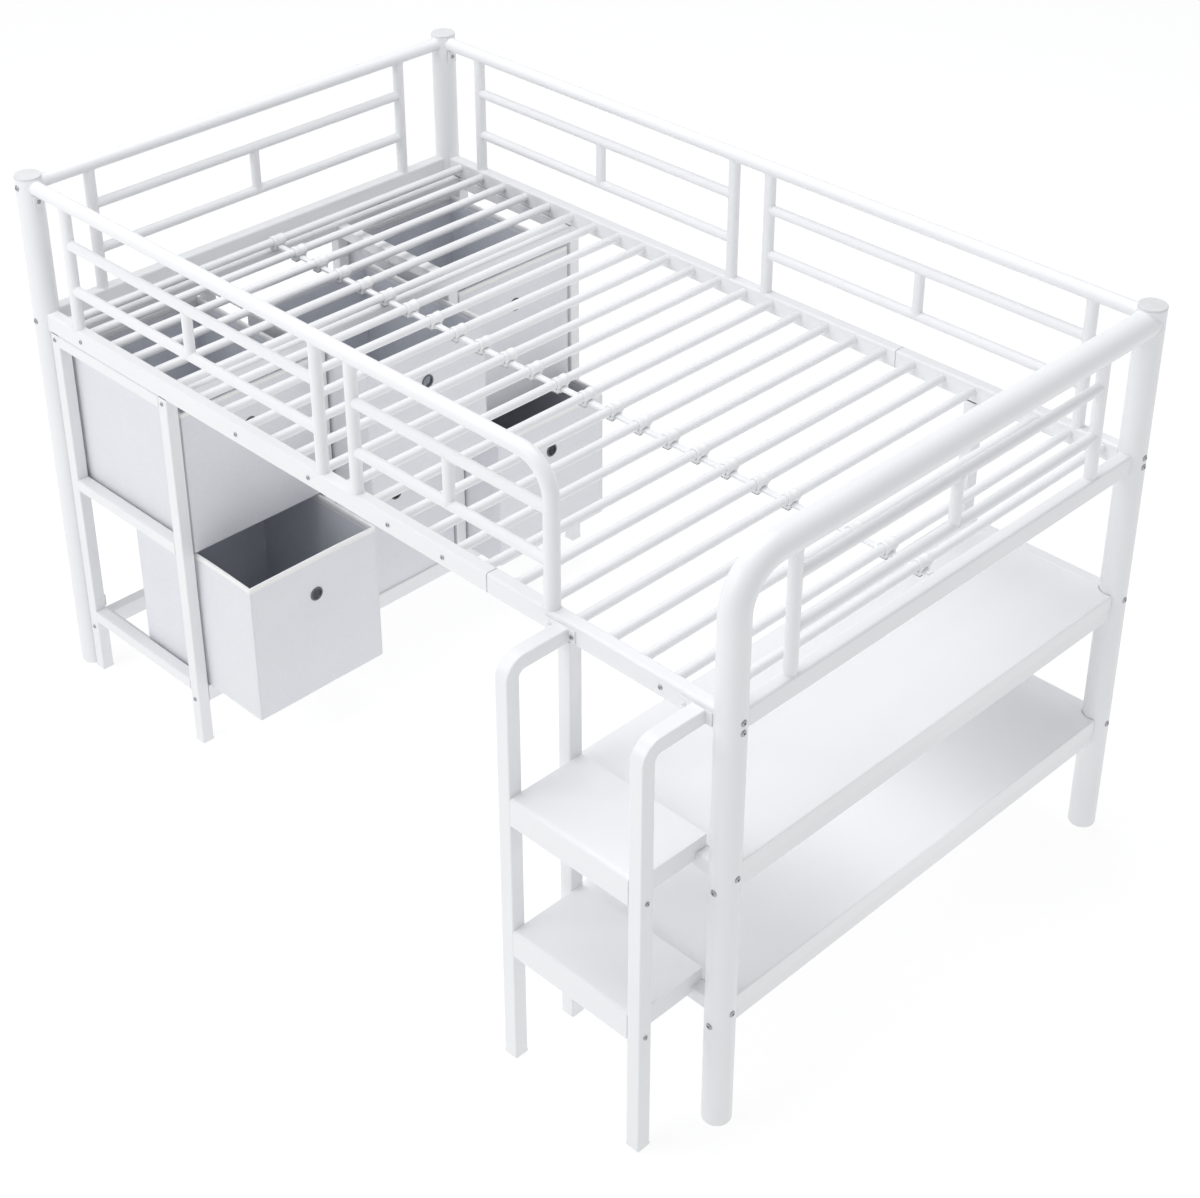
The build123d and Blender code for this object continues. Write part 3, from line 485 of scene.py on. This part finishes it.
def weld_bay(start, end, direction, end_kind="upright"):
    """Both middle tubes between two uprights, and the spacer between them."""
    for z in mids:
        low = Vector((start[0], start[1], z))
        high = Vector((end[0], end[1], z))
        weld("mid_to_upright", low, direction, UP)
        weld("mid_to_" + end_kind, high, -direction, UP)
    middle = [(a + b) / 2 for a, b in zip(start, end)]
    weld("mid_to_mid", (middle[0], middle[1], mids[0]), -UP, direction)
    weld("mid_to_mid", (middle[0], middle[1], mids[1]), UP, direction)


front_line, back_line = centre_y - side_y, centre_y + side_y
guard_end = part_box("front_guard_rail")[1].x - rail_radius
bay = foot_x - 0.125
gap = 0.05
for line, ups in ((front_line, (-bay, -gap, gap)), (back_line, (-bay, -gap, gap, bay))):
    for x in ups:
        weld("upright_to_flat", (x, line, deck_z), UP, ALONG)
        weld("upright_to_rail", (x, line, rail_z), -UP, ALONG)
    weld_bay((-bay, line), (-gap, line), ALONG)
weld_bay((gap, front_line), (guard_end, front_line), ALONG, "rail")
weld_bay((gap, back_line), (bay, back_line), ALONG)
weld("rail_to_flat", (guard_end, front_line, deck_z), UP, ALONG)
end_bar = side_y - 0.143
for x, top, kind in ((head_x, rail_z, "upright_to_rail"), (foot_x, foot_z, "upright_to_post")):
    for s in (-1, 1):
        weld("upright_to_flat", (x, centre_y + s * end_bar, deck_z), UP, ACROSS)
        weld(kind, (x, centre_y + s * end_bar, top), -UP, ACROSS)
    weld_bay((x, centre_y - end_bar), (x, centre_y + end_bar), ACROSS)
for s in (-1, 1):
    weld("rail_to_post", (head_x, centre_y + s * side_y, rail_z), -s * ACROSS, UP)
weld("rail_to_post", (head_x, front_line, rail_z), ALONG, UP)
weld("rail_to_post", (head_x, back_line, rail_z), ALONG, UP)
weld("rail_to_post", (foot_x, back_line, rail_z), -ALONG, UP)
weld("post_to_post", (foot_x, back_line, foot_z), -ACROSS, UP)
radii = {"mid": mid_radius, "upright": upright_radius, "rail": rail_radius, "post": post_radius,
         "flat": 0.0}
hair = 1.0001  # a post as thin as its tube keeps a whole saddle
for kind, spots in welds.items():
    tube, other = kind.split("_to_")
    places, along, across = zip(*spots)
    bead_points = points_with("bead_points", places, along=along, across=across)
    grow(bead_points, bead_tree, "weld_beads_" + kind, "frame_paint", "frame", angle=80,
         Tube_Radius=radii[tube], Post_Radius=radii[other] * (1.0 if other != tube else hair),
         Bead_Radius=bead_radius, Finish=frame_coat)

# Desk and shelf frames, and the two legs at the desk's inner corners. Square tube, welded.
for support in ("desk_frame", "shelf_frame", "desk_legs"):
    finish_node(support, frame_coat)

# Desk and shelf boards. Particle board in smooth white laminate.
laminate, laminate_tree, laminate_shader = shader_of("white_laminate", (0.86, 0.865, 0.87), 0.34)
laminate_place = laminate_tree.nodes.new("ShaderNodeTexCoord")
laminate_stretch = laminate_tree.nodes.new("ShaderNodeMapping")
laminate_stretch.inputs["Scale"].default_value = (22.0, 3.0, 22.0)
laminate_grain = add_node(laminate_tree, "ShaderNodeTexNoise", Scale=1.0, Detail=5.0)
laminate_pores = add_node(laminate_tree, "ShaderNodeTexNoise", Scale=700.0, Detail=2.0)
link_all(laminate_tree, (laminate_place.outputs["Object"], laminate_stretch.inputs["Vector"]),
         (laminate_stretch.outputs["Vector"], laminate_grain.inputs["Vector"]),
         (laminate_place.outputs["Object"], laminate_pores.inputs["Vector"]))
tint_by(laminate_tree, laminate_shader, laminate_grain.outputs["Fac"], (0.862, 0.864, 0.872),
        (0.868, 0.871, 0.88))
rough_by(laminate_tree, laminate_shader, laminate_grain.outputs["Fac"], 0.28, 0.4)
raise_by(laminate_tree, laminate_shader, laminate_pores.outputs["Fac"], 0.00004, 0.5)
for board in ("desk_board", "shelf_board"):
    finish_node(board, laminate)

# Ladder. Square tube legs, two pressed steel steps with deep rolled edges, and the plates
# that screw it to the side rail.
for rung in ("ladder_front_legs", "ladder_plates", "ladder_step_upper", "ladder_step_lower"):
    finish_node(rung, frame_coat)

# Cabinet frame. Square tube, with thin folded ledges that the bins slide on.
for member in ("cabinet_legs", "cabinet_uprights", "cabinet_low_bars", "cabinet_top_bars",
               "cabinet_rails_low", "cabinet_rails_mid", "cabinet_rails_top", "bin_ledges",
               "bin_stops"):
    finish_node(member, frame_coat)

# Bolts and screws. Zinc-plated button heads with a hex socket; the two that hold the ladder
# plates are painted over with the frame.
zinc, zinc_tree, zinc_shader = shader_of("zinc_plate", (0.42, 0.43, 0.45), 0.35)
zinc_shader.inputs["Metallic"].default_value = 1.0
zinc_place = zinc_tree.nodes.new("ShaderNodeTexCoord")
zinc_cloud = add_node(zinc_tree, "ShaderNodeTexNoise", Scale=300.0, Detail=3.0)
zinc_tree.links.new(zinc_place.outputs["Object"], zinc_cloud.inputs["Vector"])
tint_by(zinc_tree, zinc_shader, zinc_cloud.outputs["Fac"], (0.34, 0.35, 0.37), (0.5, 0.51, 0.53))
rough_by(zinc_tree, zinc_shader, zinc_cloud.outputs["Fac"], 0.28, 0.45)


def button_head(radius, height, shank, length):
    """A low domed head with a hex socket, and its shank."""
    dome = [(0.0001, -length), (shank, -length), (shank, 0.0), (radius, 0.0), (radius, height * 0.22)]
    for step in range(1, 6):
        angle = math.radians(15 * step)
        dome.append((radius * (0.42 + 0.58 * math.cos(angle)), height * (0.22 + 0.78 * math.sin(angle))))
    dome += [(radius * 0.36, height * 0.98), (radius * 0.34, height * 0.35), (0.0001, height * 0.3)]
    return lathe(dome, 24)


def fixing_master(name, *sizes):
    return bpy.data.objects.new(name, mesh_of(name, button_head(*sizes)))


def drive(name, spots, part, finish, slot, *nodes):
    """Sets one head on each spot, facing its way."""
    places, ways = zip(*spots)
    heads = points_with(name + "_points", places, facing=ways)
    grow(heads, set_tree, name, slot, "frame", nodes, angle=50, Part=part, Finish=finish)


bolt_master = fixing_master("bolt_master", 0.0065, 0.003, 0.003, 0.062)
screw_master = fixing_master("screw_master", 0.0046, 0.0026, 0.002, 0.006)
seat = post_radius - 0.0008
board_half = 0.015
rail_half_w, rail_half_h = 0.014, 0.021
cabinet_half = 0.014
tab_face = post_radius + 0.0032
leg_half = 0.015
proud = 0.0001
desk_z, shelf_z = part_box("desk_board")[1].z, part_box("shelf_board")[1].z
bolt_spots = []
for sy in (-1, 1):
    line = centre_y + sy * side_y
    for sx in (-1, 1):
        for z in (deck_z - 0.009, deck_z - 0.029):
            bolt_spots.append(((sx * (foot_x + seat), line, z), (sx, 0, 0)))
    for z in (desk_z - board_half, shelf_z - board_half):
        bolt_spots.append(((foot_x + seat, line, z), (1, 0, 0)))
    outer = centre_y + sy * (side_y + seat)
    for x, z in ((head_x, rail_z), (head_x, deck_z - rail_half_h),
                 (foot_x, desk_z - 3 * board_half), (foot_x, shelf_z - 3 * board_half)):
        bolt_spots.append(((x, outer, z), (0, sy, 0)))
drive("post_bolt_heads", bolt_spots, bolt_master, zinc, "bolt_steel", "post_bolts")

plate_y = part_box("ladder_plates")[0].y - proud
legs_low, legs_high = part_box("ladder_front_legs")
ladder_x = (legs_low.x + leg_half, legs_high.x - leg_half)
screw_spots = [((x, centre_y + sy * (side_y + rail_half_w + proud), deck_z - rail_half_h), (0, sy, 0))
               for sy in (-1, 1) for x in (-0.829, -0.302, -0.079, 0.150, 0.299, 0.833)]
for sx, sy in ((-1, -1), (-1, 1), (1, 1)):
    screw_spots.append(((sx * (foot_x - tab_face), centre_y + sy * side_y, rail_z - 0.029), (-sx, 0, 0)))
screw_spots.append(((ladder_x[0] + leg_half + 0.0075, plate_y, deck_z - 0.024), (0, -1, 0)))
plate_spots = [((x - 0.032, plate_y, deck_z - 0.023), (0, -1, 0)) for x in ladder_x]
drive("plate_screw_heads", plate_spots, screw_master, frame_coat, "frame_paint")
drive("rail_screw_heads", screw_spots, screw_master, zinc, "bolt_steel", "rail_screws")

cab_low, cab_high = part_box("cabinet_legs")
leg_spots = [((x, centre_y + sy * (side_y + cabinet_half + proud), z), (0, sy, 0)) for sy in (-1, 1)
             for x in (cab_low.x + cabinet_half, cab_high.x - cabinet_half)
             for z in (deck_z - 0.0551, 0.116)]
leg_spots += [((x + way * (leg_half + proud), legs_low.y + leg_half, z), (way, 0, 0))
              for x, way in zip(ladder_x, (-1, 1)) for z in (0.574, 0.271)]
drive("leg_screw_heads", leg_spots, screw_master, zinc, "bolt_steel", "leg_screws")

# Bins. Folding boxes of close-woven polyester sewn over stiff board, open on top, with a
# folded binding round the rim, stitched seams down the corners and a soft fold line in
# the middle of each side, where the box collapses flat.
def woven(name, low, high, pitch, roughness, depth):
    material, tree, shader = shader_of(name, high, roughness)
    shader.inputs["Sheen Weight"].default_value = 0.25
    shader.inputs["Sheen Roughness"].default_value = 0.5
    shader.inputs["Specular IOR Level"].default_value = 0.25
    place = tree.nodes.new("ShaderNodeTexCoord")
    split = tree.nodes.new("ShaderNodeSeparateXYZ")
    tree.links.new(place.outputs["Object"], split.inputs[0])
    level = maths(tree, "ADD", split.outputs["X"], split.outputs["Y"])
    turn = 2 * math.pi / pitch
    weft = maths(tree, "ABSOLUTE", maths(tree, "SINE", maths(tree, "MULTIPLY", level, turn / 2)))
    warp = maths(tree, "ABSOLUTE", maths(tree, "SINE", maths(tree, "MULTIPLY", split.outputs["Z"], turn / 2)))
    over = maths(tree, "SINE", maths(tree, "MULTIPLY", level, turn / 4))
    under = maths(tree, "SINE", maths(tree, "MULTIPLY", split.outputs["Z"], turn / 4))
    cross = maths(tree, "GREATER_THAN", maths(tree, "MULTIPLY", over, under), 0.0)
    weave = maths(tree, "ADD", maths(tree, "MULTIPLY", weft, cross),
                  maths(tree, "MULTIPLY", warp, maths(tree, "SUBTRACT", 1.0, cross)))
    slub = add_node(tree, "ShaderNodeTexNoise", Scale=140.0, Detail=4.0)
    cloud = add_node(tree, "ShaderNodeTexNoise", Scale=7.0, Detail=3.0)
    link_all(tree, (place.outputs["Object"], slub.inputs["Vector"]),
             (place.outputs["Object"], cloud.inputs["Vector"]))
    tone = maths(tree, "ADD", maths(tree, "MULTIPLY", weave, 0.22),
                 maths(tree, "ADD", maths(tree, "MULTIPLY", slub.outputs["Fac"], 0.5),
                       maths(tree, "MULTIPLY", cloud.outputs["Fac"], 0.35)))
    tint_by(tree, shader, tone, low, high)
    rough_by(tree, shader, slub.outputs["Fac"], roughness - 0.08, roughness + 0.08)
    fuzz = maths(tree, "MULTIPLY", slub.outputs["Fac"], 0.6)
    raise_by(tree, shader, maths(tree, "ADD", weave, fuzz), depth, 0.7)
    return material


bin_cloth = woven("bin_cloth", (0.752, 0.765, 0.805), (0.808, 0.819, 0.85), 0.0011, 0.82, 0.00018)
# The lining is a darker copy of the bin cloth: painted shade for the shadowed insides of the bins.
bin_lining = woven("bin_lining", (0.63, 0.65, 0.70), (0.69, 0.71, 0.76), 0.0011, 0.85, 0.00015)
bin_binding = woven("bin_binding", (0.88, 0.875, 0.865), (0.93, 0.925, 0.915), 0.0007, 0.75, 0.0001)
bin_thread = woven("bin_thread", (0.72, 0.73, 0.76), (0.8, 0.81, 0.83), 0.0004, 0.7, 0.00004)

# stitches: short threads set along a path at an even pitch
stitch_tree, stitch_start = new_tree("stitch_run", ("Pitch", "NodeSocketFloat"),
                                     ("Stitch Length", "NodeSocketFloat"),
                                     ("Thread Radius", "NodeSocketFloat"), FINISH)
stitch_path = stitch_tree.nodes.new("GeometryNodeMeshToCurve")
stitch_even = stitch_tree.nodes.new("GeometryNodeResampleCurve")
stitch_even.mode = "LENGTH"
stitch_bar = stitch_tree.nodes.new("GeometryNodeMeshCylinder")
stitch_bar.inputs["Vertices"].default_value = 6
stitch_way = stitch_tree.nodes.new("GeometryNodeInputTangent")
stitch_turn = stitch_tree.nodes.new("FunctionNodeAlignRotationToVector")
stitch_turn.axis = "Z"
stitch_copy = stitch_tree.nodes.new("GeometryNodeInstanceOnPoints")
link_all(stitch_tree, (stitch_start.outputs["Geometry"], stitch_path.inputs["Mesh"]),
         (stitch_path.outputs["Curve"], stitch_even.inputs["Curve"]),
         (stitch_start.outputs["Pitch"], stitch_even.inputs["Length"]),
         (stitch_start.outputs["Thread Radius"], stitch_bar.inputs["Radius"]),
         (stitch_start.outputs["Stitch Length"], stitch_bar.inputs["Depth"]),
         (stitch_even.outputs["Curve"], stitch_copy.inputs["Points"]),
         (stitch_bar.outputs["Mesh"], stitch_copy.inputs["Instance"]),
         (stitch_way.outputs["Tangent"], stitch_turn.inputs["Vector"]),
         (stitch_turn.outputs["Rotation"], stitch_copy.inputs["Rotation"]))
close_tree(stitch_tree, stitch_start, stitch_copy.outputs["Instances"])

board_thick = 0.004
corner = 0.004
panel_steps = 18


def bin_outline(low, high):
    """Points round a bin with rounded corners: place, way out, side and share along it."""
    x0, x1, y0, y1 = low.x, high.x, low.y, high.y
    around = []
    sides = (((x0, y0), (x1, y0), (0, -1)), ((x1, y0), (x1, y1), (1, 0)),
             ((x1, y1), (x0, y1), (0, 1)), ((x0, y1), (x0, y0), (-1, 0)))
    for number, (a, b, out) in enumerate(sides):
        length = abs(b[0] - a[0]) + abs(b[1] - a[1])
        way = ((b[0] - a[0]) / length, (b[1] - a[1]) / length)
        for k in range(panel_steps + 1):
            share = k / panel_steps
            d = corner + share * (length - 2 * corner)
            around.append(((a[0] + way[0] * d, a[1] + way[1] * d), out, number, share))
        nxt = sides[(number + 1) % 4][2]
        centre = (b[0] - way[0] * corner - out[0] * corner, b[1] - way[1] * corner - out[1] * corner)
        for k in (1, 2):
            t = k / 3 * math.pi / 2
            w = (out[0] * math.cos(t) + nxt[0] * math.sin(t), out[1] * math.cos(t) + nxt[1] * math.sin(t))
            around.append(((centre[0] + w[0] * corner, centre[1] + w[1] * corner), w, -1, 0.0))
    return around


def panel_swell(number, share, rise, seed):
    """How far the cloth stands out of the flat: a soft crown, a fold line, a slack rim."""
    if number < 0:
        return 0.0
    crown = math.sin(math.pi * share) * math.sin(math.pi * min(max(rise, 0.0), 1.0))
    swell = 0.0016 * crown
    swell -= 0.0022 * math.sin(math.pi * share) * max(rise, 0.0) ** 4
    if number in (0, 2):
        swell -= 0.0008 * math.exp(-((share - 0.5) / 0.012) ** 2)
    swell += 0.0005 * math.sin(7 * share + 5 * rise + seed) * math.sin(math.pi * share)
    return swell


def wall_point(point, rise, low, high, seed, out=0.0):
    (x, y), way, number, share = point
    d = panel_swell(number, share, rise, seed) + out
    return (x + way[0] * d, y + way[1] * d, low.z + rise * (high.z - low.z))


def ring_faces(shape, a, b, cloth=0):
    for k in range(len(a)):
        n = (k + 1) % len(a)
        shape.faces.new((a[k], a[n], b[n], b[k])).material_index = cloth


def sewn_bin(low, high, seed):
    """The cloth-covered box: outer wall, rim, inner wall and both sides of the bottom."""
    around = bin_outline(low, high)
    shape = bmesh.new()
    rises = [0.0, 0.008, 0.02] + [0.05 + 0.95 * k / 15 for k in range(16)]

    def wall_ring(rise, out=0.0):
        return [shape.verts.new(wall_point(p, rise, low, high, seed, out)) for p in around]

    rings = [wall_ring(r) for r in rises]
    floor_rise = board_thick / (high.z - low.z)
    inner = [r for r in reversed(rises) if r > floor_rise] + [floor_rise]
    rings += [wall_ring(r, -board_thick) for r in inner]
    for number, (a, b) in enumerate(zip(rings, rings[1:])):
        ring_faces(shape, a, b, int(number > len(rises)))
    for ring, height, lining in ((rings[-1], low.z + board_thick, 1), (rings[0], low.z, 0)):
        mx, my = (low.x + high.x) / 2, (low.y + high.y) / 2
        last = ring
        for shrink in (0.75, 0.5, 0.25):
            lap = [shape.verts.new((mx + (v.co.x - mx) * shrink, my + (v.co.y - my) * shrink, height))
                   for v in ring]
            ring_faces(shape, last, lap, lining)
            last = lap
        shape.faces.new(last).material_index = lining
    return shape, around


def rim_band(around, low, high, seed):
    """The folded binding over the rim, proud of the cloth on both faces."""
    tall = high.z - low.z
    section = [(0.0, -0.0112), (0.0009, -0.0108), (0.0012, -0.006), (0.0011, -0.0012), (0.0004, 0.0004),
               (-board_thick / 2, 0.0007), (-board_thick - 0.0004, 0.0004), (-board_thick - 0.0011, -0.0012),
               (-board_thick - 0.0012, -0.006), (-board_thick - 0.0009, -0.0108), (-board_thick, -0.0112)]
    shape = bmesh.new()
    rings = [[shape.verts.new(wall_point(p, 1 + (rise - 0.0006) / tall, low, high, seed, out))
              for p in around] for out, rise in section]
    for a, b in zip(rings, rings[1:]):
        ring_faces(shape, a, b)
    ring_faces(shape, rings[-1], rings[0])
    return shape


def corner_piping(low, high):
    """A thin folded seam down each corner of the box."""
    shape = bmesh.new()
    piping, out = 0.0011, 0.0002
    inset = corner * (1 - math.cos(math.radians(45)))
    for x, wx in ((low.x + inset, -1), (high.x - inset, 1)):
        for y, wy in ((low.y + inset, -1), (high.y - inset, 1)):
            made = bmesh.ops.create_cone(shape, cap_ends=True, segments=8, radius1=piping,
                                         radius2=piping, depth=high.z - low.z - 0.0125)["verts"]
            for v in made:
                v.co += Vector((x + wx * out, y + wy * out, (low.z + high.z - 0.0115) / 2 + 0.0002))
    return shape


def stitch_line(name, places, body):
    """A closed run of stitches through the places."""
    mesh = bpy.data.meshes.new(name)
    links = [(k, k + 1) for k in range(len(places) - 1)] + [(len(places) - 1, 0)]
    mesh.from_pydata(places, links, [])
    grow(linked(name, mesh), stitch_tree, name, "bin_fabric", body, angle=60, Pitch=0.0046,
         Stitch_Length=0.0031, Thread_Radius=0.00035, Finish=bin_thread)


def punched(cloth_box, x, y, z):
    """The box with a round finger hole cut through its front."""
    punch = bmesh.new()
    made = bmesh.ops.create_cone(punch, cap_ends=True, segments=32, radius1=hole_radius,
                                 radius2=hole_radius, depth=0.03)["verts"]
    bmesh.ops.transform(punch, matrix=Matrix.Translation((x, y, z))
                        @ Matrix.Rotation(math.radians(90), 4, "Y"), verts=made)
    punch_tool = linked("punch", mesh_of("punch", punch, outward=False))
    cut = cloth_box.modifiers.new("finger_hole", "BOOLEAN")
    cut.operation = "DIFFERENCE"
    cut.solver = "EXACT"
    cut.object = punch_tool
    bpy.context.view_layer.update()
    evaluated = cloth_box.evaluated_get(bpy.context.evaluated_depsgraph_get())
    holed = bpy.data.meshes.new_from_object(evaluated)
    cloth_box.modifiers.remove(cut)
    cloth_box.data = holed
    soften(holed, 50)
    bpy.data.objects.remove(punch_tool)


# the finger hole's eyelet: two rolled steel rings, one each side of the board
eyelet_steel, eyelet_tree, eyelet_shader = shader_of("eyelet_steel", (0.16, 0.165, 0.175), 0.38)
eyelet_shader.inputs["Metallic"].default_value = 0.85
eyelet_place = eyelet_tree.nodes.new("ShaderNodeTexCoord")
eyelet_cloud = add_node(eyelet_tree, "ShaderNodeTexNoise", Scale=260.0, Detail=3.0)
link_all(eyelet_tree, (eyelet_place.outputs["Object"], eyelet_cloud.inputs["Vector"]))
tint_by(eyelet_tree, eyelet_shader, eyelet_cloud.outputs["Fac"], (0.11, 0.115, 0.125), (0.2, 0.205, 0.215))
rough_by(eyelet_tree, eyelet_shader, eyelet_cloud.outputs["Fac"], 0.3, 0.46)

collar = [(0.0118, -0.0006), (0.0122, 0.0009), (0.0134, 0.0017), (0.0149, 0.0014), (0.0161, 0.0004),
          (0.0164, -0.0004), (0.0120, -0.0008), (0.0118, -0.0006)]
sleeve = [(0.0119, -board_thick - 0.0006), (0.0125, -board_thick - 0.0006), (0.0125, 0.0006),
          (0.0119, 0.0006), (0.0119, -board_thick - 0.0006)]
hole_radius = 0.0128
stitch_drop = 0.0092


def add_turned(shape, profile, place, flip=1):
    """Adds a ring turned about X at a place, to a shape."""
    turned = lathe(profile, 36, "X")
    bmesh.ops.transform(turned, matrix=Matrix.Translation(place) @ Matrix.Diagonal((flip, 1, 1, 1)),
                        verts=turned.verts)
    shape.from_mesh(mesh_of("eyelet_ring", turned, outward=False))


for row in ("low", "top"):
    for number, column in enumerate(("front", "mid", "back")):
        key = row + "_" + column
        body = "bin_" + key + "_body"
        low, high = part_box("bin_" + key)
        hole_y, hole_z = middle_of("grommet_" + key, Y), middle_of("grommet_" + key, Z)
        tall = high.z - low.z
        seed = number * 1.7 + (3.1 if row == "top" else 0.4)
        walls, around = sewn_bin(low, high, seed)
        cloth_box = piece_from("bin_cloth_box_" + key, walls, bin_cloth, "bin_fabric", body,
                               "bin_" + key, angle=50)
        cloth_box.data.materials.append(bin_lining)
        punched(cloth_box, high.x, hole_y, hole_z)

        piece_from("bin_binding_" + key, rim_band(around, low, high, seed), bin_binding, "bin_fabric",
                   body, angle=70)
        piece_from("bin_corner_seams_" + key, corner_piping(low, high), bin_cloth, "bin_fabric", body,
                   angle=70)
        for side, out in (("outer", 0.0013), ("inner", -board_thick - 0.0013)):
            run = [wall_point(p, 1 - stitch_drop / tall, low, high, seed, out) for p in around]
            stitch_line("bin_rim_stitches_" + side + "_" + key, run, body)

        face = high.x + panel_swell(1, 0.5, (hole_z - low.z) / tall, seed)
        eyelet = bmesh.new()
        add_turned(eyelet, collar, (face + 0.0004, hole_y, hole_z))
        add_turned(eyelet, collar, (face - board_thick - 0.0004, hole_y, hole_z), -1)
        add_turned(eyelet, sleeve, (face, hole_y, hole_z))
        piece_from("bin_eyelet_" + key, eyelet, eyelet_steel, "eyelet", body, "grommet_" + key, angle=50)
